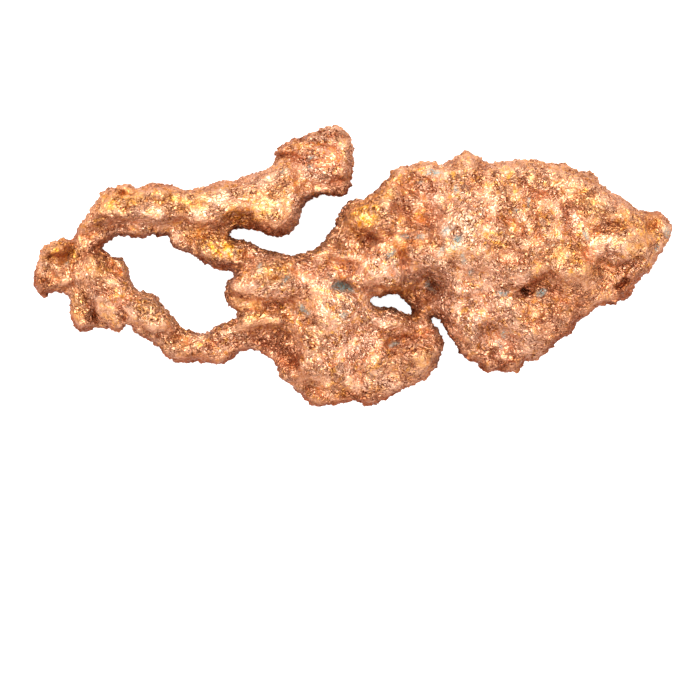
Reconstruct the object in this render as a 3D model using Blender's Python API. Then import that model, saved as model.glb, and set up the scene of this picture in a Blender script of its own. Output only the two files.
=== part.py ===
"""A native copper nugget: a broad mass, a lobe below it, and two arms on the left that close a loop.

Run with blender --background --python part.py, or from Blender's text editor. The tables are in
millimetres and the scene is in metres. +X runs towards the pointed end, +Y towards the flared arm, +Z is up.
The origin is on the surface that the nugget lies on, under the middle of its box.

The footprint is one flat outline with two holes. It is extruded, and then each point of the slab is moved
between the underside and the top that the stations give, thinned towards the rim, and raised or sunk by
the shelves, folds, knobs and pits that are named below. Last, the low spots of the underside are cut flat
where the nugget rests.
"""

import math

import bmesh
import bpy
import numpy as np
from mathutils import Vector, noise

MM = 0.001

# Driving sizes.
SLAB_HALF_HEIGHT = 4.0
RIM_SHARE = 0.42  # the rim's height as a share of the full thickness behind it
TOP_ROUNDING = 0.26  # how far in from the rim the top's rounding runs, per millimetre of thickness
UNDERSIDE_ROUNDING = 0.40  # the same for the underside
CALM_RIM = 0.8  # the named forms fade out this near to the rim
STATION_BLEND = 0.6  # how softly one station's heights give way to the next one's, in square millimetres
FIRST_GRAIN = 0.32  # the mesh size while the forms are made
LAST_GRAIN = 0.30  # the mesh size before the faces are thinned out
SKIN_SMOOTHING = 2
TRIANGLES = 9000
FOLD_REACH = 1.5  # a fold fades out at this many half widths from its path
SPOT_REACH = 1.35  # a spot fades out at this many half lengths or half widths from its middle
REST_DEPTH = 0.45  # how far a rest would reach below the surface before it is cut flat
REST_FLATNESS = 1.3  # above 1, a rest is at its full depth for some way round its middle
WELD_GAP = 0.01
CUT_GAP = 0.002
SHARP_ANGLE = 40.0

# Uneven skin: seed, size of the lumps, height.
TOP_LUMPS = (Vector((3.1, 7.7, 1.9)), 2.6, 0.5)
UNDERSIDE_LUMPS = (Vector((17.3, 2.9, 8.1)), 3.2, 0.8)
SKIN_LUMPS = (Vector((20.4, 10.6, 10.0)), 1.6, 0.35)
LUMP_SHARE = 0.7  # the share of soft swells in an uneven skin
KNOB_SHARE = 0.9  # the share of close round knobs in it
KNOB_SPACING = 0.9  # how densely the knobs stand
SWELL_ROUGHNESS = 0.7
SWELL_GAP = 2.1
SWELL_LEVELS = 3

# The footprint's edge, clockwise from the corner where the bridge meets the mass.
MASS_UPPER_EDGE = [
    (-3.5, 2.4), (-2.9, 3.0), (-2.8, 3.7), (-1.9, 4.2), (-1.6, 5.4), (-0.8, 6.9), (0.3, 7.7), (1.2, 7.6),
    (2.7, 8.4), (3.1, 9.0), (4.8, 10.5), (4.9, 11.4), (6.2, 11.4), (8.8, 11.9), (10.1, 11.5), (11.5, 12.0),
    (12.1, 12.8), (13.1, 13.1), (14.3, 12.7), (14.9, 11.9), (15.7, 11.7), (19.8, 12.2), (22.1, 12.0),
    (22.3, 11.4), (23.5, 11.8), (25.4, 11.3), (26.1, 10.8), (27.1, 10.8), (28.3, 10.1), (29.2, 8.7),
    (30.1, 8.3), (31.0, 8.1), (32.1, 6.9), (33.2, 6.1), (34.8, 6.3), (36.2, 5.9), (37.0, 4.8), (37.0, 3.8),
]
MASS_LOWER_EDGE = [
    (36.0, 1.8), (34.4, -0.3), (33.3, -1.1), (32.0, -3.4), (31.4, -3.8), (30.0, -4.4), (28.9, -4.1),
    (28.1, -4.9), (27.4, -5.0), (27.1, -5.9), (25.9, -6.1), (25.7, -7.1), (24.8, -7.9), (23.5, -8.6),
    (23.0, -9.4), (22.0, -10.0), (21.2, -11.0), (20.8, -10.4), (19.4, -11.2), (19.3, -12.0), (18.5, -12.3),
    (17.6, -12.2), (17.3, -11.5), (16.9, -12.0), (15.6, -12.2), (14.7, -11.5), (14.5, -10.8), (13.7, -11.0),
    (12.7, -10.0), (12.3, -9.2), (10.9, -7.5), (10.8, -6.9), (9.9, -5.4),
]
LOBE_EDGE = [
    (8.8, -5.8), (8.8, -6.4), (9.9, -7.6), (10.7, -9.0), (10.0, -10.5), (9.5, -12.0), (7.4, -13.5),
    (5.9, -14.1), (5.0, -14.8), (3.6, -15.4), (2.4, -16.1), (1.4, -16.1), (0.6, -15.5), (-0.2, -15.6),
    (-2.2, -16.1), (-3.0, -15.9), (-3.8, -16.4), (-5.0, -15.9), (-5.6, -15.0), (-6.3, -14.6), (-6.9, -13.6),
    (-7.9, -13.4), (-8.8, -11.8), (-8.7, -11.2), (-9.9, -10.1), (-11.0, -9.7), (-11.6, -9.4),
]
LOWER_ARM_EDGE = [
    (-13.4, -10.0), (-14.3, -10.8), (-15.2, -11.4), (-16.5, -11.4), (-18.2, -10.9), (-19.4, -11.2),
    (-20.6, -11.1), (-21.5, -10.4), (-22.2, -9.4), (-23.6, -8.5), (-25.2, -7.3), (-26.1, -6.2),
]
ELBOW_EDGE = [
    (-26.6, -6.5), (-26.6, -7.5), (-27.4, -7.5), (-27.8, -7.2), (-30.3, -6.9), (-31.0, -7.5), (-31.6, -7.7),
    (-32.3, -6.9), (-32.8, -4.4), (-32.7, -3.0),
]
TIP_EDGE = [
    (-34.9, -3.0), (-35.6, -3.4), (-36.4, -3.3), (-36.9, -2.0), (-36.8, -0.2), (-36.2, 1.1), (-35.9, 2.0),
    (-34.9, 2.8), (-33.2, 3.0), (-32.6, 2.8),
]
UPPER_ARM_EDGE = [
    (-32.1, 3.3), (-31.6, 4.9), (-30.9, 5.5), (-29.9, 7.2), (-28.9, 8.0), (-28.4, 9.0), (-27.8, 9.0),
    (-27.6, 8.6), (-27.2, 9.3), (-25.6, 9.4), (-25.6, 8.6), (-24.0, 9.1), (-23.4, 9.7), (-22.7, 9.6),
    (-21.9, 9.3), (-20.4, 9.1), (-19.0, 8.6), (-17.7, 9.0), (-16.0, 9.1), (-15.8, 9.6), (-14.5, 9.9),
    (-13.6, 9.5), (-13.2, 10.1), (-12.0, 10.2), (-11.2, 10.8), (-10.1, 10.8), (-9.3, 11.6), (-8.6, 12.0),
]
FLARE_EDGE = [
    (-8.3, 12.5), (-8.8, 13.1), (-8.5, 13.9), (-7.8, 14.1), (-7.0, 14.7), (-6.0, 14.7), (-5.1, 15.3),
    (-4.0, 15.5), (-2.4, 16.2), (-1.5, 16.4), (-1.0, 15.6), (-0.1, 14.9), (0.0, 13.4), (-0.3, 10.4),
    (-0.4, 9.2), (-1.0, 8.4), (-2.2, 8.2), (-3.2, 8.6), (-4.9, 8.0), (-5.9, 7.0),
]
BAY_EDGE = [
    (-6.0, 6.2), (-6.9, 4.2), (-7.6, 3.8), (-8.9, 3.4), (-9.8, 3.5), (-10.6, 4.1), (-12.4, 4.4), (-13.4, 4.6),
    (-14.2, 4.1), (-14.9, 3.3), (-13.9, 3.1), (-12.6, 2.9), (-11.7, 2.5), (-10.6, 1.9), (-9.7, 1.4),
    (-8.8, 1.6), (-7.6, 1.0), (-6.3, 1.2), (-5.4, 1.5), (-3.8, 1.8),
]
FOOTPRINT = (
    MASS_UPPER_EDGE + MASS_LOWER_EDGE + LOBE_EDGE + LOWER_ARM_EDGE + ELBOW_EDGE
    + TIP_EDGE + UPPER_ARM_EDGE + FLARE_EDGE + BAY_EDGE
)
LOOP_HOLE = [
    (-29.8, 1.8), (-28.7, 2.9), (-27.2, 3.8), (-25.2, 3.5), (-24.1, 3.5), (-23.2, 3.8), (-22.0, 3.7),
    (-21.3, 4.4), (-21.1, 3.1), (-20.6, 2.1), (-19.4, 1.8), (-18.9, 2.0), (-18.0, 1.1), (-16.8, 0.2),
    (-15.8, -0.5), (-14.6, -0.3), (-13.0, -0.5), (-13.8, -1.5), (-14.6, -2.4), (-14.8, -3.4), (-14.3, -4.4),
    (-13.2, -5.0), (-13.0, -5.9), (-14.2, -6.5), (-15.6, -6.9), (-16.8, -8.0), (-18.0, -7.9), (-20.0, -7.3),
    (-20.5, -6.4), (-21.9, -4.7), (-23.3, -3.3), (-24.1, -3.2), (-25.4, -2.7), (-25.8, -1.6), (-26.3, 0.0),
    (-27.2, 1.1), (-27.9, 0.6), (-28.4, 1.5),
]
SLIT_HOLE = [
    (1.7, -3.7), (2.2, -3.5), (3.6, -3.4), (4.2, -3.1), (5.4, -3.1), (5.9, -3.8), (6.5, -4.2), (7.4, -5.5),
    (7.2, -6.0), (6.4, -6.1), (5.9, -5.5), (5.2, -5.2), (4.1, -4.9), (3.2, -5.2), (2.2, -4.7),
]

# Heights of the top and the underside: x, y, top, underside.
STATIONS = [
    (35.8, 4.3, 6.2, 2.0), (31.5, 4.5, 8.4, 0.9), (30.5, -1.8, 7.0, 1.2), (26.0, 7.0, 8.8, 0.9),
    (25.0, 0.5, 9.3, 0.4), (20.0, 9.0, 9.2, 0.8), (19.0, 3.0, 10.3, 0.4), (20.5, -6.0, 7.6, 0.9),
    (17.0, -10.0, 5.8, 1.3), (13.0, 10.0, 8.8, 1.0), (13.5, 4.0, 10.4, 0.4), (13.0, -5.0, 7.6, 0.8),
    (8.0, 8.5, 8.4, 1.2), (8.5, 2.5, 9.6, 0.7), (3.0, 6.0, 8.8, 1.2), (3.0, 0.0, 8.6, 1.0),
    (-1.0, 4.0, 7.6, 1.4), (8.5, -4.8, 5.6, 1.4), (-2.0, -4.5, 8.0, 0.8), (-5.0, -11.0, 6.6, 0.4),
    (2.0, -9.5, 6.6, 0.8), (7.5, -9.5, 6.6, 1.0), (3.5, -14.0, 5.2, 1.2), (-4.0, -14.8, 5.0, 1.3),
    (-6.0, 0.0, 7.6, 1.2), (-11.5, -2.0, 7.6, 1.5), (-9.0, -7.0, 6.0, 1.4), (-15.0, -9.0, 5.8, 1.4),
    (-20.0, -9.4, 5.2, 0.3), (-24.0, -6.0, 6.2, 1.5), (-29.0, -2.5, 5.8, 1.3), (-31.5, -6.0, 4.8, 1.2),
    (-35.0, -0.5, 5.8, 0.5), (-31.5, 3.0, 5.2, 1.2), (-28.5, 6.3, 6.4, 1.8), (-23.0, 7.0, 7.2, 2.2),
    (-17.0, 7.0, 7.4, 2.4), (-10.0, 8.0, 7.6, 2.0), (-5.5, 11.0, 7.0, 1.0), (-2.0, 13.5, 6.6, 0.8),
    (-19.5, 3.6, 6.4, 2.4), (-14.5, 1.4, 6.4, 2.0),
]

# Raised sheets of metal: outline, rise, width of the edge.
SHELVES = {
    "arm_plate": ([
        (-27.8, 8.6), (-25.3, 8.4), (-22.0, 9.0), (-19.5, 8.5), (-16.0, 8.8), (-12.5, 9.8), (-9.5, 10.6),
        (-7.5, 11.6), (-6.2, 9.0), (-6.0, 6.5), (-7.0, 4.5), (-9.0, 4.0), (-11.5, 4.9), (-12.0, 6.2),
        (-13.5, 6.0), (-15.0, 5.0), (-17.0, 4.3), (-19.5, 5.4), (-21.0, 5.0), (-23.5, 5.2), (-25.5, 5.6),
        (-28.0, 5.3), (-29.6, 6.2),
    ], 1.1, 0.5),
    "bridge_blade": ([
        (-18.2, 3.3), (-15.5, 3.1), (-13.0, 2.8), (-11.9, 2.0), (-12.4, 1.0), (-12.0, 0.1), (-16.0, 0.1),
        (-17.6, 1.2),
    ], 0.8, 0.5),
    "lower_blade": ([
        (-26.6, -4.2), (-24.5, -3.6), (-23.3, -3.6), (-21.8, -5.2), (-20.7, -6.6), (-21.0, -7.4),
        (-23.5, -7.4), (-25.0, -6.4), (-26.2, -5.2),
    ], 0.9, 0.5),
    "elbow_plate": ([
        (-32.3, -0.5), (-30.0, 1.4), (-28.6, 1.3), (-27.8, -0.6), (-26.4, -1.6), (-26.3, -3.0),
        (-27.5, -4.5), (-27.0, -5.5), (-29.6, -5.6), (-30.3, -3.9), (-31.2, -2.9), (-32.4, -2.6),
    ], 0.8, 0.4),
    "elbow_finger": ([
        (-32.5, -3.3), (-31.2, -3.1), (-30.3, -4.6), (-30.6, -6.0), (-31.1, -7.2), (-32.0, -6.9), (-32.6, -5.0),
    ], 0.6, 0.4),
    "tip_knob": ([
        (-35.3, 2.2), (-33.3, 2.8), (-32.9, 1.4), (-33.4, 0.8), (-35.0, 1.0), (-35.8, 1.4),
    ], 0.9, 0.4),
    "shoulder": ([
        (-14.4, -2.4), (-12.6, -0.6), (-10.5, 0.3), (-7.5, 0.6), (-6.0, -0.6), (-6.0, -3.4), (-9.0, -4.0),
        (-12.0, -3.4), (-14.2, -3.4),
    ], 1.0, 0.8),
    "curtain": ([
        (2.0, 2.8), (4.5, 2.9), (5.7, 1.2), (5.9, -0.5), (6.0, -2.8), (4.0, -2.7), (2.3, -2.4), (0.5, -3.0),
        (-0.8, -1.8), (0.2, -0.4), (1.4, 0.8),
    ], 0.7, 0.5),
    "lobe_left": ([
        (-4.0, -1.0), (-1.6, -1.6), (-2.4, -3.0), (0.2, -3.6), (0.4, -5.5), (-0.4, -8.0), (-0.6, -12.0),
        (-2.5, -13.4), (-5.8, -11.8), (-6.5, -8.0), (-6.0, -5.2), (-4.8, -2.8),
    ], 0.7, 2.0),
    "lobe_right": ([
        (1.2, -8.6), (4.4, -9.8), (8.6, -8.8), (9.8, -9.4), (8.8, -12.0), (5.0, -14.0), (1.2, -14.4),
        (0.8, -11.5),
    ], 0.6, 2.0),
    "plateau": ([
        (9.0, 6.0), (10.0, 11.0), (20.0, 11.6), (28.0, 9.5), (33.0, 5.5), (35.0, 3.5), (33.5, 0.6),
        (30.5, 0.3), (28.5, 0.8), (26.0, -1.8), (23.5, -0.9), (22.4, -1.0), (20.0, -2.4), (17.0, -2.6),
        (13.5, -3.4), (11.4, -3.6), (10.6, -1.2), (8.8, 0.2), (6.0, 0.8), (6.2, 2.2), (9.5, 3.2),
    ], 0.9, 0.9),
    "crest": ([
        (-1.0, 4.0), (-0.6, 6.2), (2.6, 7.8), (4.6, 9.0), (5.2, 6.6), (5.0, 4.4), (3.2, 3.8), (1.0, 3.6),
    ], 0.7, 0.7),
}

# Folds that stand up (rise above 0) or are sunk (below 0): path, half width, rise.
FOLDS = {
    "tip_crack": ([(-32.4, 2.3), (-32.9, 1.2), (-33.3, 0.6), (-34.8, 0.9)], 0.45, -1.2),
    "tooth_crease": ([(-28.1, 0.3), (-27.5, -0.6), (-26.9, -1.1)], 0.35, -0.7),
    "finger_crease": ([(-31.2, -3.2), (-30.3, -4.5), (-30.0, -6.2)], 0.5, -1.1),
    "elbow_step": ([(-31.6, -2.2), (-29.5, -2.4), (-27.9, -2.8), (-27.2, -4.4)], 0.4, -0.5),
    "arm_recess": ([(-28.6, 4.7), (-26.6, 4.7), (-24.9, 4.3), (-22.2, 4.5)], 0.7, -0.8),
    "bay_recess": ([(-16.2, 4.3), (-14.6, 4.9), (-13.2, 5.6), (-12.2, 5.4)], 0.7, -1.0),
    "flare_lip": ([(-5.2, 15.0), (-3.2, 15.7), (-1.5, 15.9), (-0.6, 14.9)], 0.6, 0.7),
    "flare_lip_crease": ([(-3.4, 15.2), (-2.0, 15.1), (-0.9, 14.7)], 0.4, -0.9),
    "flare_side_crease": ([(-8.4, 12.7), (-6.5, 12.5), (-4.8, 11.8)], 0.5, -0.9),
    "flare_rim": ([(-0.6, 13.6), (-0.7, 11.8), (-0.8, 10.3)], 0.6, 0.6),
    "flare_foot": ([(-5.0, 9.2), (-3.4, 9.5), (-2.0, 10.0)], 0.5, -0.7),
    "shoulder_crease": ([(-14.3, -3.7), (-12.0, -4.1), (-9.5, -4.6), (-7.0, -4.4)], 0.5, -0.8),
    "shoulder_lower_fold": ([(-12.8, -6.3), (-10.5, -6.0), (-8.3, -6.2)], 0.8, 0.6),
    "arm_root_slope": ([(-10.4, -8.6), (-8.3, -8.6), (-7.2, -9.4), (-7.4, -10.6)], 1.3, -1.5),
    "lobe_valley": ([(0.7, -6.2), (0.1, -8.6), (-0.2, -11.0), (0.5, -13.6)], 0.9, -0.5),
    "lobe_groove": ([(4.3, -9.3), (5.2, -8.6), (7.0, -7.8), (8.9, -7.4)], 0.7, -1.0),
    "lobe_upper_fold": ([(1.2, -6.6), (3.6, -6.2), (6.0, -6.9)], 0.9, 0.6),
    "lobe_foot": ([(-6.0, -13.8), (-3.8, -14.6), (-1.6, -14.9), (0.8, -14.7), (3.0, -15.0)], 0.5, -0.7),
    "neck_fold": ([(-9.6, 0.9), (-6.4, 0.6), (-3.6, 1.2), (-0.4, 1.0)], 0.6, 0.6),
    "neck_crease": ([(-6.4, -0.7), (-4.5, -0.9), (-2.4, 0.2), (0.2, 0.0)], 0.5, -0.7),
    "curtain_pleat": ([(2.2, 2.2), (1.6, 0.8), (0.4, -0.8)], 0.5, -0.7),
    "curtain_ridge": ([(2.9, 2.0), (2.6, 0.2), (2.2, -2.0)], 0.5, 0.6),
    "curtain_side": ([(5.7, 1.3), (6.0, -0.6), (6.1, -2.8)], 0.4, -0.8),
    "crater_arch": ([(6.4, 0.5), (8.4, 0.5), (10.2, -0.3), (11.5, -1.9), (12.2, -3.6)], 1.0, 0.6),
    "mass_crease": ([(5.0, 6.4), (6.5, 5.6), (8.4, 5.3), (9.8, 5.6)], 0.45, -0.8),
    "crevice": ([(19.4, -3.1), (20.6, -2.5), (22.4, -1.3)], 0.5, -1.1),
    "crevice_shade": ([(22.4, -2.6), (24.4, -3.2), (26.2, -4.4)], 0.9, -1.0),
    "plateau_crease_a": ([(16.6, 5.4), (18.0, 4.9), (19.2, 4.0), (19.9, 2.4)], 0.4, -0.7),
    "plateau_crease_b": ([(19.6, 9.3), (20.3, 8.2), (20.2, 6.4), (20.8, 4.4), (21.0, 2.4)], 0.4, -0.6),
    "plateau_crease_c": ([(21.0, 8.1), (22.6, 7.9)], 0.35, -0.5),
    "plateau_crease_d": ([(24.5, 6.6), (24.8, 5.0), (25.2, 3.6), (26.9, 1.8)], 0.4, -0.5),
    "plateau_crease_e": ([(16.4, 2.4), (16.5, 0.6), (18.2, 0.4), (19.8, 0.8)], 0.4, -0.6),
    "point_crease": ([(27.6, 3.5), (28.8, 3.9), (29.3, 4.8), (30.6, 4.2)], 0.45, -0.7),
    "point_lower_crease": ([(27.2, 1.1), (28.4, 0.4), (30.0, -0.6), (32.4, 0.2)], 0.45, -0.7),
    "point_side_fold": ([(34.2, 1.0), (32.4, -1.2), (31.0, -3.0)], 0.5, 0.4),
    "lower_mass_fold": ([(13.4, -5.4), (15.4, -7.4), (17.4, -9.2)], 0.8, -0.6),
    "lower_mass_ridge": ([(16.6, -4.2), (18.2, -6.0), (20.6, -7.6)], 1.0, 0.7),
    "knob_crease": ([(13.2, 10.2), (14.2, 10.8), (15.0, 11.6)], 0.45, -0.6),
}

# Knobs (rise above 0) and pits (below 0): x, y, half length, half width, turn in degrees, rise.
SPOTS = {
    "arm_pinhole": (-26.5, 8.3, 0.55, 0.45, 0, -1.6),
    "elbow_pinhole": (-26.5, -5.6, 0.45, 0.7, 0, -1.5),
    "finger_pit": (-29.9, -5.6, 0.5, 0.9, 0, -1.3),
    "tip_hollow": (-34.8, -1.4, 1.2, 0.8, 10, -0.7),
    "arm_knob": (-23.2, 9.2, 0.8, 0.6, 0, 0.6),
    "arm_end": (-9.6, 6.4, 2.6, 1.8, 10, 0.5),
    "arm_hollow": (-29.7, 4.4, 0.9, 0.7, 40, -0.6),
    "flare_knob": (-7.9, 13.5, 1.0, 0.8, 0, 0.8),
    "flare_bowl": (-3.6, 12.6, 2.6, 1.8, 20, -1.1),
    "flare_pocket": (-1.4, 9.3, 1.1, 0.9, 0, -1.2),
    "lower_arm_hollow": (-16.2, -8.8, 1.2, 0.6, 20, -0.7),
    "lower_arm_knob": (-16.8, -10.2, 1.1, 0.6, 5, 0.6),
    "lower_arm_bend": (-19.9, -8.6, 1.4, 0.8, 10, -0.5),
    "shoulder_crown": (-9.4, -1.4, 2.6, 1.6, -10, 0.5),
    "green_hollow": (-1.0, -2.6, 1.5, 0.7, -15, -1.6),
    "crater": (9.5, -1.9, 1.7, 0.75, -52, -2.5),
    "crater_floor": (8.2, -2.9, 2.0, 1.7, -52, -1.6),
    "crest_notch": (2.1, 2.8, 1.0, 0.6, -20, -1.3),
    "crest_bowl": (7.4, 9.2, 2.4, 1.3, -10, -1.0),
    "crest_lower_bowl": (7.6, 6.6, 2.0, 1.0, -15, -0.6),
    "crest_knob": (5.4, 10.9, 0.8, 0.7, 0, 0.5),
    "rim_knob": (13.1, 12.0, 1.5, 1.2, 0, 0.8),
    "plateau_eye": (16.4, 4.4, 0.8, 0.6, 60, 0.6),
    "plateau_west": (13.2, 6.4, 2.2, 2.6, 20, 0.5),
    "plateau_middle": (22.4, 4.4, 1.6, 2.2, 0, 0.5),
    "plateau_east": (28.0, 7.0, 2.6, 1.6, -35, 0.4),
    "plateau_hollow": (18.4, 1.4, 1.4, 1.0, 0, -0.6),
    "crevice_end": (20.0, -3.0, 0.8, 0.5, 0, -1.6),
    "east_knob": (26.6, -0.8, 1.3, 0.8, -10, 0.6),
    "east_pit": (26.7, 1.6, 0.8, 0.4, 0, -0.7),
    "point_dome": (30.8, 2.6, 2.0, 1.6, 20, 0.5),
    "point_shelf": (34.0, 4.8, 1.4, 1.0, -10, -0.6),
    "point_cell": (31.0, -2.2, 0.9, 0.7, 0, -0.9),
    "lower_mass_knob": (14.2, -6.4, 1.1, 1.3, 20, 0.6),
    "lower_mass_boss": (20.2, -8.6, 1.9, 1.1, 25, 0.6),
    "foot_knob_a": (15.8, -11.4, 1.0, 0.6, -5, 0.6),
    "foot_knob_b": (18.5, -11.5, 0.9, 0.6, 0, 0.6),
    "lobe_boss": (2.8, -11.6, 1.6, 1.8, 0, 0.5),
    "lobe_east_boss": (7.6, -10.2, 1.7, 0.9, 20, 0.5),
    "lobe_toe": (1.9, -15.5, 1.0, 0.5, 0, 0.6),
    "lobe_west_toe": (-4.0, -15.6, 1.1, 0.5, -10, 0.5),
    "lobe_west_knob": (-8.0, -12.2, 0.7, 1.1, 20, 0.6),
}

# Hollows of the underside: x, y, half length, half width, turn in degrees, depth.
UNDERSIDE_HOLLOWS = {
    "mass_vault": (18.0, 3.5, 5.0, 3.0, 20, 1.6),
    "point_vault": (31.0, 3.0, 3.0, 1.8, -30, 1.2),
    "crest_vault": (6.5, 5.5, 3.2, 2.4, 40, 1.4),
    "lobe_vault": (3.0, -9.0, 3.4, 2.0, 15, 1.2),
    "foot_vault": (18.5, -7.0, 3.0, 1.6, -35, 1.0),
    "shoulder_vault": (-9.0, -3.5, 3.0, 1.8, 0, 1.2),
    "arm_vault": (-13.0, 7.4, 4.0, 1.2, 8, 0.9),
    "elbow_vault": (-29.0, -3.0, 2.0, 1.4, 50, 0.9),
}

# Worn high spots that the nugget rests on: x, y, radius.
RESTS = {
    "mass_east": (26.0, 2.5, 3.6),
    "mass_west": (12.5, 7.5, 3.2),
    "mass_south": (16.0, -5.0, 3.4),
    "lobe": (-3.0, -10.5, 3.6),
    "bend": (-20.0, -9.3, 1.8),
    "flare": (-4.0, 12.2, 2.6),
    "tip": (-34.6, -0.4, 1.9),
}

COPPER = (0.83, 0.44, 0.26, 1.0)
COPPER_ROUGHNESS = 0.38


def clear_scene():
    for obj in list(bpy.data.objects):
        bpy.data.objects.remove(obj)


def footprint_slab():
    """The footprint with its two holes, extruded both ways from z = 0."""
    curve = bpy.data.curves.new("footprint", "CURVE")
    curve.dimensions = "2D"
    curve.fill_mode = "BOTH"
    curve.extrude = SLAB_HALF_HEIGHT * MM
    for outline in (FOOTPRINT, LOOP_HOLE, SLIT_HOLE):
        spline = curve.splines.new("POLY")
        spline.points.add(len(outline) - 1)
        for point, (x, y) in zip(spline.points, outline):
            point.co = (x * MM, y * MM, 0.0, 1.0)
        spline.use_cyclic_u = True
    slab = bpy.data.objects.new("footprint", curve)
    bpy.context.scene.collection.objects.link(slab)
    return slab


def baked(obj, name):
    """A new mesh object with what obj looks like after its modifiers. obj is removed."""
    graph = bpy.context.evaluated_depsgraph_get()
    mesh = bpy.data.meshes.new_from_object(obj.evaluated_get(graph))
    mesh.name = name
    made = bpy.data.objects.new(name, mesh)
    bpy.context.scene.collection.objects.link(made)
    bpy.data.objects.remove(obj)
    return made


def remeshed(obj, grain):
    """obj as one closed skin with an even mesh, lightly smoothed."""
    weld = obj.modifiers.new("weld", "WELD")
    weld.merge_threshold = WELD_GAP * MM
    skin = obj.modifiers.new("skin", "REMESH")
    skin.mode = "VOXEL"
    skin.voxel_size = grain * MM
    smooth = obj.modifiers.new("smooth", "SMOOTH")
    smooth.factor = 0.5
    smooth.iterations = SKIN_SMOOTHING
    return baked(obj, "nugget_skin")


def points_of(mesh):
    flat = np.empty(len(mesh.vertices) * 3, np.float32)
    mesh.vertices.foreach_get("co", flat)
    return flat.reshape(-1, 3).astype(float) / MM


def put_points(mesh, points):
    mesh.vertices.foreach_set("co", (points * MM).astype(np.float32).ravel())
    mesh.update()


def distance_to_path(plan, path, closed=False):
    """How far each plan point is from the nearest point of a path."""
    nearest = np.full(len(plan), np.inf)
    ends = list(path) + [path[0]] if closed else list(path)
    for start, end in zip(ends, ends[1:]):
        a = np.array(start)
        run = np.array(end) - a
        along = np.clip((plan - a) @ run / (run @ run), 0.0, 1.0)
        nearest = np.minimum(nearest, np.linalg.norm(plan - a - along[:, None] * run, axis=1))
    return nearest


def is_inside(plan, outline):
    """Whether each plan point lies within a closed outline."""
    inside = np.zeros(len(plan), bool)
    x, y = plan.T
    for (xa, ya), (xb, yb) in zip(outline, outline[1:] + outline[:1]):
        if ya == yb:
            continue
        crosses = (ya > y) != (yb > y)
        inside ^= crosses & (x < xa + (y - ya) * (xb - xa) / (yb - ya))
    return inside


def eased(value):
    """0 to 1, with a soft start and end."""
    share = np.clip(value, 0.0, 1.0)
    return share * share * (3.0 - 2.0 * share)


def station_heights(plan):
    """The top and the underside at each plan point, blended from the stations near it."""
    stations = np.array(STATIONS)
    gaps = ((plan[:, None, :] - stations[None, :, :2]) ** 2).sum(axis=2)
    weights = 1.0 / (gaps + STATION_BLEND) ** 2
    weights /= weights.sum(axis=1, keepdims=True)
    return weights @ stations[:, 2], weights @ stations[:, 3]


def spot_share(plan, x, y, length, width, turn):
    """1 at a spot's middle and 0 from its reach outwards."""
    angle = math.radians(turn)
    dx, dy = plan[:, 0] - x, plan[:, 1] - y
    along = (dx * math.cos(angle) + dy * math.sin(angle)) / length
    across = (dy * math.cos(angle) - dx * math.sin(angle)) / width
    return eased(SPOT_REACH - np.hypot(along, across))


def top_relief(plan):
    """How far the top's named forms stand above or below the stations' surface."""
    rise = np.zeros(len(plan))
    for outline, height, edge in SHELVES.values():
        depth = distance_to_path(plan, outline, closed=True)
        depth[~is_inside(plan, outline)] *= -1.0
        rise += height * eased(0.5 + depth / edge)
    for path, half_width, height in FOLDS.values():
        rise += height * eased(FOLD_REACH - distance_to_path(plan, path) / half_width)
    for x, y, length, width, turn, height in SPOTS.values():
        rise += height * spot_share(plan, x, y, length, width, turn)
    return rise


def underside_relief(plan):
    """How far the underside's hollows go up."""
    rise = np.zeros(len(plan))
    for x, y, length, width, turn, depth in UNDERSIDE_HOLLOWS.values():
        rise += depth * spot_share(plan, x, y, length, width, turn)
    return rise


def unevenness(points, lumps):
    """Soft swells with close round knobs on them, for each point."""
    seed, size, height = lumps
    rise = np.empty(len(points))
    for i, point in enumerate(points):
        at = Vector(point) / size + seed
        swell = noise.fractal(at, SWELL_ROUGHNESS, SWELL_GAP, SWELL_LEVELS)
        knob = 0.5 - noise.voronoi(at * KNOB_SPACING)[0][0]
        rise[i] = height * (LUMP_SHARE * swell + KNOB_SHARE * knob)
    return rise


def fullness(inset, thickness, rounding):
    """The share of the full height that is reached at a distance in from the rim."""
    reach = np.clip(inset / (rounding * thickness), 0.0, 1.0)
    return RIM_SHARE + (1.0 - RIM_SHARE) * np.sqrt(1.0 - (1.0 - reach) ** 2)


def shape_nugget(mesh):
    """Turns the flat slab into the nugget: its thickness, its rounded rim, its relief and its rests."""
    points = points_of(mesh)
    plan = points[:, :2]
    level = np.clip(points[:, 2] / SLAB_HALF_HEIGHT, -1.0, 1.0)
    upper = eased(2.0 * level)
    lower = eased(-2.0 * level)
    top, underside = station_heights(plan)
    thickness = top - underside
    inset = np.minimum.reduce(
        [distance_to_path(plan, edge, closed=True) for edge in (FOOTPRINT, LOOP_HOLE, SLIT_HOLE)]
    )
    rounding = np.where(level > 0.0, TOP_ROUNDING, UNDERSIDE_ROUNDING)
    height = (top + underside) / 2.0 + level * fullness(inset, thickness, rounding) * thickness / 2.0
    calm_rim = eased(inset / CALM_RIM)
    height += upper * (calm_rim * top_relief(plan) + unevenness(points, TOP_LUMPS))
    height += lower * (calm_rim * underside_relief(plan) - unevenness(points, UNDERSIDE_LUMPS))
    for x, y, radius in RESTS.values():
        near = eased(REST_FLATNESS * (1.0 - np.hypot(plan[:, 0] - x, plan[:, 1] - y) / radius))
        sunk = -REST_DEPTH * near + height * (1.0 - near)
        height = np.where(level < 0.0, np.minimum(height, sunk), height)
    points[:, 2] = height
    put_points(mesh, points)


def roughen_skin(mesh):
    """Pushes the skin in and out along its own normals, so that the rim is as uneven as the faces."""
    points = points_of(mesh)
    normals = np.empty(len(mesh.vertices) * 3, np.float32)
    mesh.vertices.foreach_get("normal", normals)
    push = unevenness(points, SKIN_LUMPS)
    put_points(mesh, points + normals.reshape(-1, 3) * push[:, None])


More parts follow.
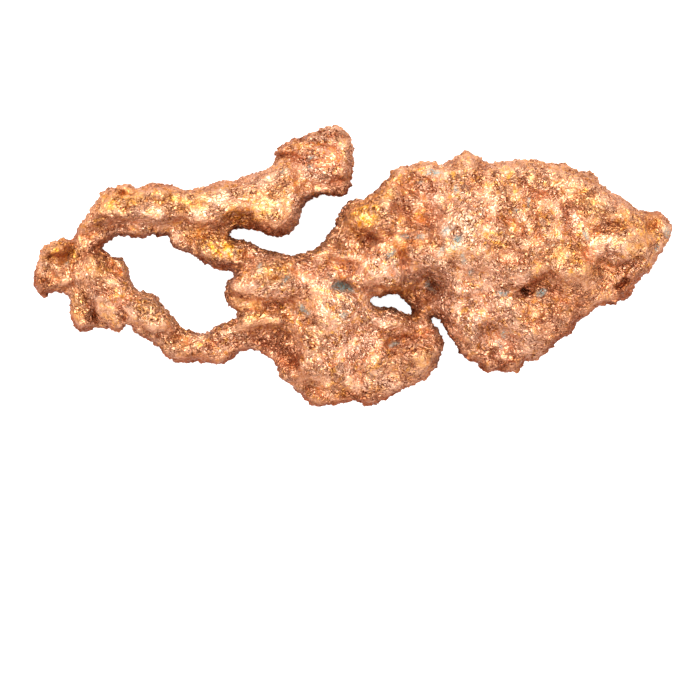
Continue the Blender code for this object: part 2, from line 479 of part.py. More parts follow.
def thinned(obj):
    """obj with about TRIANGLES faces, closest where the surface turns most."""
    thin = obj.modifiers.new("thin", "DECIMATE")
    thin.ratio = TRIANGLES / (2.0 * len(obj.data.polygons))
    thin.use_collapse_triangulate = True
    return baked(obj, "nugget_thinned")


def cut_rests_flat(mesh):
    """Cuts off all below z = 0 and closes each cut with a flat face."""
    shape = bmesh.new()
    shape.from_mesh(mesh)
    bmesh.ops.bisect_plane(
        shape, geom=shape.verts[:] + shape.edges[:] + shape.faces[:], dist=CUT_GAP * MM,
        plane_co=(0, 0, 0), plane_no=(0, 0, 1), clear_inner=True,
    )
    rims = [edge for edge in shape.edges if edge.is_boundary]
    flats = bmesh.ops.holes_fill(shape, edges=rims, sides=0)["faces"]
    for flat in flats:
        flat.normal_update()
        if flat.normal.z > 0.0:
            flat.normal_flip()
    bmesh.ops.triangulate(shape, faces=flats)
    shape.to_mesh(mesh)
    shape.free()


def drop_crumbs(mesh):
    """Leaves only the largest connected piece."""
    shape = bmesh.new()
    shape.from_mesh(mesh)
    pieces = []
    left = set(shape.verts)
    while left:
        piece = set()
        newest = {left.pop()}
        while newest:
            piece |= newest
            newest = {edge.other_vert(vert) for vert in newest for edge in vert.link_edges} - piece
        left -= piece
        pieces.append(piece)
    pieces.sort(key=len)
    crumbs = [vert for piece in pieces[:-1] for vert in piece]
    bmesh.ops.delete(shape, geom=crumbs, context="VERTS")
    shape.to_mesh(mesh)
    shape.free()


def stand_on_origin(mesh):
    """Puts the middle of the box's base on the origin."""
    points = points_of(mesh)
    low = points.min(axis=0)
    high = points.max(axis=0)
    put_points(mesh, points - [(low[0] + high[0]) / 2.0, (low[1] + high[1]) / 2.0, low[2]])


def copper():
    material = bpy.data.materials.new("native_copper")
    material.use_nodes = True
    shader = material.node_tree.nodes["Principled BSDF"]
    shader.inputs["Base Color"].default_value = COPPER
    shader.inputs["Metallic"].default_value = 1.0
    shader.inputs["Roughness"].default_value = COPPER_ROUGHNESS
    return material


def main():
    clear_scene()
    nugget = remeshed(footprint_slab(), FIRST_GRAIN)
    shape_nugget(nugget.data)
    nugget = remeshed(nugget, LAST_GRAIN)
    drop_crumbs(nugget.data)
    roughen_skin(nugget.data)
    nugget = thinned(nugget)
    cut_rests_flat(nugget.data)
    stand_on_origin(nugget.data)
    nugget.name = nugget.data.name = "copper_nugget"
    nugget.data.materials.append(copper())
    nugget.data.shade_smooth()
    nugget.data.set_sharp_from_angle(angle=math.radians(SHARP_ANGLE))


main()
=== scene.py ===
"""The finished native copper nugget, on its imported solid, in a plain studio.

nugget.body makes the metal's own surface from the solid: its folds, creases, knobs and grains, and the
masks that its finish reads. nugget.studio makes the floor, the lights and the camera. Tables are in
millimetres, the scene is in metres, +X runs towards the pointed end and +Z is up.
"""

import math

import bmesh
import bpy
import numpy as np
from bpy.props import FloatProperty, FloatVectorProperty, IntProperty, PointerProperty
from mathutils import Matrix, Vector


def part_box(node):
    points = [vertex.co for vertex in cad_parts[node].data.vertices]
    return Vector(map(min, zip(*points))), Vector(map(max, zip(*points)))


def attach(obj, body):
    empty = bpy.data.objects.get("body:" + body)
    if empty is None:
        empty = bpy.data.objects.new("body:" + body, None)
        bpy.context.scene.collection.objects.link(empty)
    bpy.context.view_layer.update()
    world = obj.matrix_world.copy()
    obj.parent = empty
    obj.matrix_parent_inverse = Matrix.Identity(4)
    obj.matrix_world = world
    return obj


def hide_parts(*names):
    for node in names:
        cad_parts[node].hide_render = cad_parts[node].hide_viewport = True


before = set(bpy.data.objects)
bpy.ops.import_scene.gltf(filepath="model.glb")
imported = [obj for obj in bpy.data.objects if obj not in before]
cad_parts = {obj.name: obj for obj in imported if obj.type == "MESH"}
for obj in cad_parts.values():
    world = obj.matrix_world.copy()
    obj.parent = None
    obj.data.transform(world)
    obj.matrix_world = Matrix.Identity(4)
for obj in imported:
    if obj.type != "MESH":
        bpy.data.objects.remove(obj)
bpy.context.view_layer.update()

bl_info = {
    "name": "Native Copper Nugget",
    "version": (1, 0, 0),
    "blender": (4, 5, 0),
    "location": "3D View > Sidebar > Nugget",
    "description": "Makes a native copper nugget with a hackly metal surface, and the studio it lies in",
    "category": "Add Mesh",
}

NODE = "copper_nugget"

MM = 0.001
UP, ACROSS = (0.0, 0.0, 1.0), (0.0, 1.0, 0.0)
LEAF_EDGE = 0.2  # the share of each sheet of metal that its steep edge takes up
LIP_START, LIP_END = 0.7, 0.9  # where the painted highlight along each sheet's upper edge starts, and where it is brightest
DIRECTIONS = 6  # how many fixed directions the drawn-out sheets are blended from
STREAK_STEPS = (-1.0, -0.6, -0.2, 0.2, 0.6, 1.0)  # where along a streak its noise is read
STREAK_REACH, STREAK_GAIN = 2.4, 0.4  # how many widths those places reach, and what their sum is scaled by
LUMP_MIDDLE, RIDGE_MIDDLE, GRAIN_MIDDLE = 0.25, 0.3, 0.45  # the levels that lumps and the like rise from
SMOOTH_GRIT = 0.15  # how much of the grain is left where the metal is smooth
CHIP_FLOOR = 0.4  # how much stronger than the grain the large chips are
FINER = 0.45  # the size of the fine chips and sheets beside the large ones
SHEET_COUNT, FINE_COUNT = 2.5, 1.6  # how many sheets overlap in the shape
CALMING = 12  # rounds of averaging that leave only the large forms' directions
STEEP_FALL = 1.5  # how fast steepness falls off as the surface turns to face up
RIM_START, FLANK_START = 1.1, 1.3  # where the rim's teeth and the flanks' painted shade start
GLOSS_START, GLOSS_END = 0.35, 0.65  # the mottle where the metal starts to lose its gloss, and is dull
PAINTED_FLANK_SHADE, SUN_SHARE = 0.7, 0.3  # how dark the flanks' painted shade is, and how much lighter it is on the side towards the light
CREASE_REACH, CREASE_SHADE_REACH = 1.3, 1.4  # how far a crease and its painted shade reach, in half widths
RELIEF_SHARE = 0.6  # how much of their stated rise the creases, knobs and pits keep
WANDER = 0.16  # how far the named forms' edges wander
BLEND = 0.8  # how softly the rows of CHARACTER are blended, in square millimetres

# How far a point stands off its surroundings: the rounds of averaging, and the stand that counts as full.
STANDS = {"hollow": (14, -0.16), "deep": (90, -0.9), "crest": (8, 0.09)}

# What the finish reads from the mesh.
# The hollow, deep, creased and flank masks carry painted shade, the tarnish patches heavier film with painted
# shade, and the pink patches pinker metal with painted light.
MASKS = ("wrinkle", "hollow", "deep", "crest", "creased", "flank", "golden", "pink_and_lit", "tarnish_and_shade", "residue")

# The noises that mottle the finish: forms in a millimetre, detail, roughness.
NOISES = {
    "broad": (0.35, 3.0, 0.6), "mottle": (1.6, 4.0, 0.65), "speckle": (4.5, 3.0, 0.7),
    "calm": (0.5, 1.0, 0.5),
}

# The finish's shares: the mask or noise they read, from low, from high, to start, to end.
SHARES = {
    "drawn_sheets": ("wrinkle", 0.1, 0.7, 0.7, 1.0),
    "small_flakes": ("wrinkle", 0.2, 0.7, 0.8, 0.15),
    # These two thin out the painted shadow at the base of the sheets' steps.
    "broken_feet": ("mottle", 0.38, 0.52, 0.7, 1.0),
    "faded_feet": ("calm", 0.42, 0.56, 0.25, 1.0),
    "dark_mottle": ("mottle", 0.44, 0.34, 0.0, 0.45),
    "tarnish_and_shade": ("mottle", 0.3, 0.6, 0.15, 0.65),
    "film_and_shade_on_pink": ("pink_and_lit", 0.0, 1.0, 1.0, 0.3),
    "pale_fields": ("broad", 0.45, 0.65, 0.0, 0.3),
    "gold_edges": ("mottle", 0.35, 0.6, 0.0, 1.0),
    "stray_gold": ("mottle", 0.5, 0.62, 0.0, 1.0),
    "gold_fields": ("broad", 0.6, 0.4, 0.2, 0.75),
    "residue_edges": ("speckle", 0.43, 0.52, 0.0, 1.0),
    "relief": ("calm", 0.4, 0.6, 0.4, 1.3),
}

# Sizes that the surface's node tree takes in, as the shape's settings are named.
CRUMPLE_SIZES = (
    "Lump Size", "Lump Height", "Wrinkle Size", "Wrinkle Height", "Grain Size", "Grain Height", "Chip Size",
    "Chip Tilt", "Sheet Size", "Sheet Height", "Rim Size", "Rim Height",
)

# Where the camera stands over the nugget, and the lamps: place, and length of a side, in metres.
CAMERA_PLACE = (-0.00029, -0.00976)
LAMPS = {"soft_box": ((-0.15, 0.40, 0.75), 1.0), "spark_light": ((-0.12, 0.20, 0.50), 0.05)}

# How the metal's surface runs: x, y, direction of its wrinkles in degrees, their strength, its graininess.
CHARACTER = [
    (-35.0, 0.0, 80, 0.3, 1.0), (-29.5, -1.5, -45, 0.8, 0.4), (-31.5, -6.0, -70, 0.5, 0.6),
    (-28.5, -5.0, -55, 0.6, 0.4), (-24.0, -5.5, -40, 0.7, 0.2), (-20.0, -9.5, -20, 0.4, 0.9),
    (-15.5, -8.5, 30, 0.9, 0.4), (-29.8, 6.0, 50, 0.8, 0.3), (-24.0, 7.5, 5, 0.4, 0.3),
    (-17.0, 7.5, 10, 0.4, 0.5), (-10.5, 7.0, 15, 0.4, 0.5), (-21.5, 4.5, 10, 0.3, 1.0),
    (-6.0, 10.5, 45, 0.6, 0.6), (-3.0, 12.5, -30, 0.7, 0.7), (-15.0, 1.6, -25, 0.5, 0.2),
    (-20.0, 3.2, -60, 0.3, 1.0), (-11.0, -1.5, -10, 0.9, 0.4), (-10.0, -6.0, 30, 0.6, 0.8),
    (-4.0, -8.0, -40, 1.0, 0.4), (-2.0, -4.5, -60, 0.8, 0.5), (0.3, -10.0, -80, 0.4, 0.5),
    (6.0, -8.4, 18, 1.0, 0.3), (3.0, -13.5, 0, 0.4, 0.9), (-7.0, -13.0, 60, 0.4, 1.0),
    (-4.5, 0.0, -20, 0.9, 0.3), (2.5, 0.5, 60, 1.0, 0.1), (5.0, -1.2, 80, 0.6, 0.1),
    (8.5, 0.0, -25, 0.5, 0.0), (11.5, -3.0, -50, 0.5, 0.1), (1.0, 5.5, 45, 0.8, 0.5),
    (7.0, 8.5, -20, 0.7, 0.6), (6.5, 3.8, 0, 0.7, 0.4), (11.0, 4.0, 60, 0.6, 0.4),
    (17.0, 9.0, 20, 0.6, 0.5), (20.0, 4.0, 70, 0.5, 0.7), (24.0, 8.0, 30, 0.4, 0.7),
    (28.0, 6.0, -40, 0.3, 0.8), (30.5, 2.5, 20, 0.3, 0.4), (33.5, 3.0, 70, 0.4, 0.9),
    (36.4, 4.5, 60, 0.1, 0.0), (31.0, -2.0, 60, 1.0, 0.7), (17.0, -5.5, -50, 0.5, 0.8),
    (23.0, -5.0, -20, 0.4, 0.9), (16.5, -11.0, 0, 0.3, 1.0), (12.0, -7.5, -50, 0.6, 0.6),
]

# Sheets of metal with a crisp edge: outline, rise, width of the edge.
LEDGES = {
    "arm_plate": ([
        (-27.8, 8.4), (-25.3, 8.2), (-22.0, 8.8), (-19.5, 8.3), (-16.0, 8.6), (-12.5, 9.5), (-9.5, 10.3),
        (-7.5, 11.2), (-6.4, 9.0), (-6.3, 6.5), (-7.2, 4.7), (-9.0, 4.3), (-11.6, 5.0), (-12.2, 6.3),
        (-13.6, 6.1), (-15.2, 5.1), (-17.0, 4.5), (-19.5, 5.5), (-21.0, 5.1), (-23.5, 5.3), (-25.5, 5.7),
        (-28.0, 5.4), (-29.4, 6.2),
    ], 0.35, 0.3),
    "bridge_blade": ([
        (-18.3, 3.1), (-15.5, 3.0), (-13.2, 2.7), (-12.1, 1.9), (-12.6, 1.0), (-12.2, 0.2), (-16.0, 0.2),
        (-17.5, 1.2),
    ], 0.35, 0.25),
    "lower_blade": ([
        (-26.4, -4.3), (-24.5, -3.8), (-23.3, -3.8), (-21.8, -5.3), (-20.9, -6.6), (-21.2, -7.2),
        (-23.5, -7.1), (-25.0, -6.1), (-26.0, -5.2),
    ], 0.35, 0.25),
    "elbow_crest": ([
        (-30.6, 1.2), (-28.8, 1.1), (-28.4, 0.2), (-28.9, -0.8), (-28.2, -1.6), (-26.6, -1.9), (-26.6, -2.8),
        (-28.0, -2.7), (-29.6, -2.2), (-31.0, -1.4),
    ], 0.35, 0.3),
    "elbow_plate": ([
        (-30.2, -3.2), (-28.6, -3.4), (-27.2, -4.6), (-27.0, -6.8), (-28.6, -6.7), (-29.8, -6.4),
        (-29.5, -4.8),
    ], 0.3, 0.25),
    "tip_lump": ([
        (-35.0, 2.3), (-33.4, 2.6), (-33.1, 1.5), (-33.6, 1.0), (-34.7, 1.2), (-35.6, 1.3),
    ], 0.45, 0.3),
    "shoulder_crown": ([
        (-14.2, -2.6), (-12.6, -0.9), (-10.5, 0.1), (-8.4, 0.2), (-7.2, -0.9), (-8.4, -2.4), (-11.0, -3.0),
        (-13.0, -3.5),
    ], 0.3, 0.5),
    "neck_sheet": ([
        (-6.2, -0.6), (-4.6, 0.6), (-2.8, 0.2), (-1.5, -1.3), (-2.6, -2.6), (-4.4, -3.4), (-6.4, -2.6),
    ], 0.3, 0.35),
    "curtain": ([
        (2.3, 2.5), (4.6, 2.7), (5.5, 1.2), (5.6, -0.5), (5.7, -2.6), (4.0, -2.5), (2.3, -2.2), (0.7, -2.7),
        (-0.5, -1.7), (0.4, -0.4), (1.6, 0.9),
    ], 0.35, 0.25),
    "crater_brow": ([
        (6.3, 1.2), (8.6, 1.3), (11.0, 0.4), (12.6, -1.4), (13.2, -3.4), (11.8, -3.8), (10.9, -1.9),
        (9.7, -0.5), (8.0, 0.2), (6.2, 0.1),
    ], 0.35, 0.45),
    "crest_sheet": ([
        (-0.6, 4.6), (-0.2, 6.3), (2.4, 7.6), (4.2, 7.8), (4.8, 6.2), (4.4, 4.9), (2.6, 4.2), (0.8, 3.9),
    ], 0.3, 0.35),
    "mass_west_sheet": ([
        (10.6, 1.2), (9.7, 3.4), (10.8, 5.4), (13.0, 6.2), (14.7, 4.4), (15.4, 2.2), (14.6, -0.6),
        (12.6, -0.8),
    ], 0.3, 0.3),
    "mass_north_sheet": ([
        (14.2, 7.2), (15.3, 10.8), (18.6, 11.4), (21.4, 11.2), (21.0, 9.4), (19.6, 8.4), (18.8, 6.6),
        (16.4, 6.2),
    ], 0.3, 0.3),
    "mass_middle_sheet": ([
        (21.2, 7.6), (24.0, 7.4), (24.4, 4.6), (23.6, 2.4), (21.4, 2.2), (20.9, 4.8),
    ], 0.3, 0.3),
    "mass_east_sheet": ([
        (25.2, 7.4), (27.0, 9.6), (29.6, 7.6), (31.4, 5.8), (29.6, 5.0), (27.6, 4.4), (25.4, 4.8),
    ], 0.3, 0.3),
    "point_sheet": ([
        (27.6, 3.0), (29.4, 4.2), (31.8, 4.6), (33.0, 3.0), (32.4, 1.2), (30.0, 0.4), (28.0, 1.2),
    ], 0.35, 0.3),
    "lower_mass_sheet": ([
        (16.0, -2.9), (18.6, -3.6), (20.4, -4.4), (19.6, -6.6), (17.8, -8.0), (16.0, -6.6), (15.2, -4.4),
    ], 0.3, 0.35),
    "lobe_ridge": ([
        (-3.4, -3.4), (-2.0, -3.8), (-2.6, -6.0), (-3.6, -8.6), (-4.6, -11.4), (-6.2, -11.0), (-5.8, -8.0),
        (-4.4, -5.4),
    ], 0.35, 0.5),
    "lobe_east_sheet": ([
        (4.8, -9.6), (8.4, -8.6), (9.9, -9.2), (9.2, -11.4), (6.6, -12.8), (4.4, -11.8),
    ], 0.3, 0.35),
    "flare_rim": ([
        (-5.8, 14.2), (-3.4, 15.1), (-1.6, 15.8), (-0.6, 14.8), (-0.4, 12.4), (-0.7, 10.0), (-1.5, 10.2),
        (-1.5, 12.4), (-1.9, 14.0), (-4.0, 13.9),
    ], 0.35, 0.35),
}

# Creases (rise below 0) and ridges (above 0): path, half width, rise.
CREASES = {
    "tip_crack": ([(-32.6, 2.5), (-32.9, 1.5), (-33.2, 0.9), (-34.2, 1.0), (-35.1, 1.0)], 0.3, -0.8),
    "tip_neck": ([(-32.3, 0.6), (-32.5, -0.8), (-32.3, -2.2), (-31.4, -3.0)], 0.3, -0.6),
    "tooth_slit": ([(-28.0, 0.4), (-27.5, -0.5), (-26.9, -1.0)], 0.25, -0.9),
    "finger_hollow": ([(-31.0, -3.4), (-30.3, -4.6), (-29.9, -5.4), (-29.9, -6.6)], 0.35, -0.7),
    "elbow_fold_a": ([(-30.8, -0.4), (-29.4, -1.6), (-27.9, -3.4), (-27.4, -4.6)], 0.3, -0.4),
    "elbow_fold_b": ([(-29.8, 0.4), (-28.6, -0.6), (-27.4, -2.0)], 0.3, 0.3),
    "notch_pit": ([(-26.6, -4.8), (-26.4, -5.4), (-26.5, -6.2)], 0.3, -0.9),
    "arm_corner_a": ([(-31.2, 4.4), (-30.0, 5.0), (-28.8, 5.6)], 0.3, 0.35),
    "arm_corner_b": ([(-31.0, 3.2), (-29.6, 4.0), (-28.4, 4.3)], 0.3, -0.5),
    "arm_corner_c": ([(-30.2, 5.8), (-29.2, 7.0), (-28.2, 8.0)], 0.3, -0.35),
    "arm_slot": ([(-27.6, 8.2), (-27.4, 7.4), (-26.6, 6.6), (-25.6, 6.8)], 0.25, -0.4),
    "under_arm_shade": ([(-28.0, 4.8), (-26.4, 4.7), (-25.0, 4.5)], 0.5, -0.45),
    "arm_mid_dip": ([(-19.6, 8.3), (-19.9, 7.2), (-19.2, 6.2), (-20.0, 5.6)], 0.35, -0.35),
    "arm_mid_ridge": ([(-22.6, 8.8), (-20.2, 8.3), (-18.4, 8.2), (-16.6, 8.8)], 0.3, 0.25),
    "arm_mid_line": ([(-18.2, 7.0), (-16.2, 6.6), (-13.6, 7.4), (-11.2, 7.2)], 0.25, -0.25),
    "bay_shade": ([(-16.0, 4.3), (-14.6, 4.9), (-13.2, 5.5), (-12.2, 5.3)], 0.5, -0.4),
    "arm_end_arc": ([(-12.0, 8.0), (-12.2, 6.6), (-11.4, 5.6)], 0.25, -0.3),
    "neck_line_a": ([(-8.2, 9.6), (-6.8, 10.6), (-5.6, 11.4)], 0.3, 0.3),
    "neck_line_b": ([(-6.4, 8.6), (-5.0, 9.6), (-4.4, 10.6)], 0.3, -0.4),
    "flare_crease": ([(-8.2, 12.6), (-6.4, 12.4), (-4.8, 11.8), (-3.6, 11.6)], 0.35, -0.7),
    "flare_lip_crease": ([(-3.6, 15.1), (-2.2, 15.2), (-1.0, 14.7)], 0.35, -0.9),
    "flare_bowl_line": ([(-4.8, 13.4), (-3.4, 12.6), (-2.2, 11.4), (-1.8, 10.2)], 0.25, -0.35),
    "flare_step": ([(-4.6, 8.9), (-3.2, 9.2), (-1.9, 9.8)], 0.35, -0.6),
    "bridge_rim": ([(-17.8, 0.9), (-16.2, -0.1), (-14.2, 0.1), (-12.4, 0.0)], 0.3, -0.5),
    "bridge_fold": ([(-12.0, 2.4), (-12.2, 1.4), (-11.4, 0.8)], 0.3, -0.7),
    "shoulder_groove_a": ([(-14.5, -3.5), (-12.2, -3.8), (-9.8, -4.3), (-7.6, -4.0)], 0.3, -0.4),
    "shoulder_groove_b": ([(-12.8, -5.0), (-10.6, -4.9), (-8.8, -5.4)], 0.25, -0.35),
    "shoulder_groove_c": ([(-13.4, -1.4), (-11.6, -1.8), (-9.4, -1.2), (-7.4, -1.8)], 0.25, -0.35),
    "shoulder_ridge": ([(-12.2, -2.4), (-10.2, -2.6), (-8.2, -2.9), (-6.6, -2.2)], 0.3, 0.3),
    "neck_shelf": ([(-7.6, 0.4), (-5.8, 0.7), (-3.8, 1.0), (-2.0, 1.4)], 0.25, -0.3),
    "neck_lines_a": ([(-5.6, -0.2), (-4.0, 0.2), (-2.4, -0.4)], 0.25, -0.3),
    "neck_lines_b": ([(-6.0, -1.4), (-4.2, -1.0), (-2.4, -1.6)], 0.25, -0.3),
    "green_crack": ([(-1.3, -0.9), (-1.1, -1.8), (-0.7, -2.4)], 0.3, -0.8),
    "lobe_lines_a": ([(-5.6, -6.2), (-3.8, -7.4), (-1.8, -9.2)], 0.25, -0.4),
    "lobe_lines_b": ([(-6.0, -8.0), (-4.2, -9.6), (-2.4, -11.4)], 0.25, -0.4),
    "lobe_lines_c": ([(-4.6, -5.0), (-2.8, -6.2), (-0.8, -7.6)], 0.25, -0.35),
    "lobe_lines_d": ([(-6.4, -10.0), (-4.8, -11.6), (-3.2, -13.0)], 0.25, -0.4),
    "lobe_lines_e": ([(-2.6, -9.0), (-1.4, -10.6), (-0.8, -12.4)], 0.3, 0.25),
    "lobe_valley": ([(0.6, -6.4), (0.2, -9.0), (-0.1, -11.2), (0.5, -13.4)], 0.4, -0.35),
    "lobe_groove_a": ([(4.0, -9.4), (5.6, -8.8), (7.4, -8.0), (9.2, -7.6)], 0.3, -0.4),
    "lobe_groove_b": ([(3.4, -8.0), (5.2, -7.4), (7.2, -6.9)], 0.3, -0.4),
    "lobe_groove_c": ([(4.4, -10.6), (6.4, -9.8), (8.6, -9.2), (10.0, -9.0)], 0.3, -0.4),
    "lobe_ridge_a": ([(3.2, -8.8), (5.0, -8.2), (7.0, -7.4), (8.6, -6.8)], 0.3, 0.35),
    "lobe_dash": ([(6.0, -11.3), (7.4, -11.2)], 0.3, -0.45),
    "arm_root_line": ([(-16.6, -8.6), (-14.6, -7.8), (-12.8, -6.8), (-11.2, -6.4)], 0.3, 0.35),
    "arm_root_shade": ([(-13.6, -9.0), (-11.4, -8.6), (-9.2, -9.2), (-7.6, -9.8)], 0.5, -0.4),
    "bend_line": ([(-22.2, -7.9), (-20.8, -8.4), (-19.4, -8.2)], 0.3, -0.5),
    "blade_edge": ([(-25.4, -6.7), (-23.6, -7.6), (-21.8, -7.8)], 0.35, -0.6),
    "crest_hole": ([(1.4, 2.6), (2.2, 2.9), (3.0, 2.7)], 0.45, -0.8),
    "pleat_a": ([(2.0, 2.2), (1.4, 1.0), (0.4, -0.4), (-0.4, -1.2)], 0.3, -0.5),
    "pleat_b": ([(2.6, 2.2), (2.2, 0.8), (1.6, -0.8), (0.8, -2.2)], 0.3, -0.35),
    "pleat_c": ([(3.2, 2.0), (3.4, 0.6), (3.0, -0.6), (2.6, -2.0)], 0.3, -0.3),
    "pleat_d": ([(4.0, -0.1), (4.5, -1.0)], 0.25, -0.6),
    "pleat_e": ([(4.4, 2.2), (4.6, 0.8), (5.0, -0.6)], 0.3, 0.25),
    "crater_slit": ([(5.8, 1.4), (5.7, 0.6), (6.0, -0.6), (6.1, -2.2)], 0.3, -0.8),
    "crater_lines_a": ([(12.2, -0.4), (13.4, -1.8), (15.6, -2.6)], 0.25, -0.3),
    "crater_lines_b": ([(11.6, 0.8), (13.0, -0.2), (14.8, -1.0)], 0.25, -0.3),
    "crest_crease_a": ([(4.8, 6.4), (6.4, 5.8), (8.0, 5.2), (9.6, 5.4)], 0.35, -0.6),
    "crest_crease_b": ([(5.2, 9.6), (6.2, 8.6), (7.8, 8.2), (9.4, 8.6)], 0.35, -0.5),
    "crest_crease_c": ([(4.4, 3.4), (5.8, 3.2), (7.4, 3.3), (8.8, 2.6)], 0.3, -0.5),
    "crest_crease_d": ([(6.0, 10.6), (8.0, 10.2), (10.2, 10.6)], 0.3, -0.3),
    "knob_groove": ([(13.2, 8.8), (13.8, 9.9), (14.9, 11.2)], 0.35, -0.4),
    "bright_ridge": ([(13.8, 3.0), (14.2, 4.4), (14.9, 5.6), (15.0, 6.8)], 0.4, 0.35),
    "curl_out": ([(15.0, 4.6), (15.6, 5.6), (16.4, 5.4), (16.4, 4.4), (15.7, 3.9)], 0.25, -0.45),
    "dash_a": ([(17.0, 5.2), (18.2, 4.9), (19.2, 4.1)], 0.25, -0.5),
    "dash_b": ([(19.6, 9.3), (20.3, 8.6), (20.6, 7.9)], 0.25, -0.5),
    "dash_c": ([(21.0, 8.1), (22.5, 7.9)], 0.25, -0.6),
    "dash_d": ([(20.8, 5.9), (20.7, 5.2)], 0.3, -0.6),
    "dash_e": ([(21.2, 4.6), (21.1, 3.6), (21.4, 2.8)], 0.3, -0.6),
    "scratch_a": ([(24.2, 7.0), (24.6, 5.6), (25.0, 4.0)], 0.2, -0.45),
    "scratch_b": ([(25.3, 6.4), (25.6, 5.2), (26.3, 4.6)], 0.2, -0.35),
    "dash_f": ([(28.8, 4.9), (29.8, 4.6), (30.3, 4.7)], 0.25, -0.4),
    "dash_g": ([(25.6, 1.9), (26.5, 1.5), (27.0, 0.8), (27.6, 0.6)], 0.25, -0.5),
    "dash_h": ([(16.6, 2.0), (17.4, 1.2), (18.8, 1.4)], 0.25, -0.4),
    "dash_i": ([(19.4, 0.2), (21.2, 0.4), (22.6, 0.0)], 0.25, -0.4),
    "dash_j": ([(26.4, 9.2), (27.0, 8.0), (28.0, 7.4)], 0.25, -0.35),
    "dash_k": ([(31.6, 6.6), (32.2, 5.6), (33.0, 5.4)], 0.3, -0.5),
    "crevice": ([(19.4, -3.2), (20.4, -2.7), (21.6, -1.9), (22.6, -1.1)], 0.3, -0.5),
    "crevice_band": ([(20.8, -3.6), (22.6, -3.2), (24.4, -3.8)], 0.4, -0.35),
    "rib_a": ([(33.2, 0.0), (32.6, -0.9)], 0.3, 0.4),
    "rib_b": ([(32.2, -0.4), (31.6, -1.4)], 0.3, 0.4),
    "rib_c": ([(31.0, -0.9), (30.2, -2.2)], 0.3, 0.4),
    "rib_d": ([(32.4, -1.8), (31.2, -3.4)], 0.3, 0.35),
    "rib_e": ([(30.0, -2.2), (29.6, -3.6)], 0.3, 0.35),
    "point_cell": ([(30.6, -2.4), (31.4, -2.0)], 0.4, -0.8),
    "flank_line_a": ([(10.8, -5.8), (12.0, -7.4), (13.2, -9.4)], 0.4, -0.5),
    "flank_line_b": ([(13.6, -4.8), (15.2, -6.4), (16.6, -8.2), (18.2, -9.4)], 0.35, -0.4),
    "foot_slit": ([(17.2, -12.0), (17.3, -11.0)], 0.3, -0.9),
}

# Knobs (rise above 0) and pits (below 0): x, y, half length, half width, turn in degrees, rise.
BUMPS = {
    "arm_hole": (-26.6, 8.3, 0.45, 0.35, 0, -1.6),
    "arm_knob": (-23.2, 9.2, 0.6, 0.5, 0, 0.4),
    "arm_glint": (-30.0, 4.6, 0.5, 0.4, 30, 0.4),
    "tip_pit_a": (-34.9, -0.6, 0.4, 0.3, 0, -0.5),
    "tip_pit_b": (-35.8, -1.4, 0.35, 0.3, 0, -0.4),
    "tip_pit_c": (-34.0, -1.8, 0.4, 0.35, 0, -0.4),
    "bend_pit": (-19.2, -8.7, 0.5, 0.35, 20, -0.7),
    "lower_arm_boss": (-16.7, -9.7, 0.8, 0.45, 5, 0.4),
    "flare_knob": (-8.2, 13.5, 0.6, 0.6, 0, 0.45),
    "flare_pocket": (-1.3, 9.5, 0.8, 0.5, 20, -0.8),
    "green_hollow": (-1.0, -2.6, 1.3, 0.5, -15, -0.9),
    "crater_depth": (9.4, -1.8, 1.3, 0.7, -52, -1.4),
    "crest_dark": (1.0, 3.2, 0.5, 0.35, 20, -0.5),
    "bowl_pit_a": (7.0, 9.0, 0.9, 0.4, -15, -0.5),
    "bowl_pit_b": (8.6, 6.2, 0.7, 0.35, -25, -0.5),
    "rim_knob": (13.0, 12.2, 1.1, 0.8, 0, 0.35),
    "eye": (15.8, 4.8, 0.45, 0.35, 50, 0.35),
    "crevice_hole": (20.0, -3.0, 0.6, 0.4, 0, -1.5),
    "point_pit_a": (32.6, 4.4, 0.35, 0.3, 0, -0.5),
    "point_pit_b": (34.0, 2.4, 0.4, 0.3, 0, -0.5),
    "point_pit_c": (33.2, 1.0, 0.4, 0.3, 0, -0.5),
    "point_pit_d": (34.6, 3.6, 0.3, 0.3, 0, -0.4),
    "lobe_red_pit": (6.7, -11.4, 0.6, 0.3, 10, -0.5),
    "lobe_bright_boss": (8.4, -10.5, 0.8, 0.5, 20, 0.35),
    "foot_knob_a": (15.6, -11.6, 0.6, 0.4, 0, 0.4),
    "foot_knob_b": (18.4, -11.8, 0.6, 0.4, 0, 0.4),
    "foot_knob_c": (20.8, -9.6, 0.6, 0.5, 0, 0.4),
    "foot_knob_d": (13.6, -10.2, 0.6, 0.5, 0, 0.4),
}

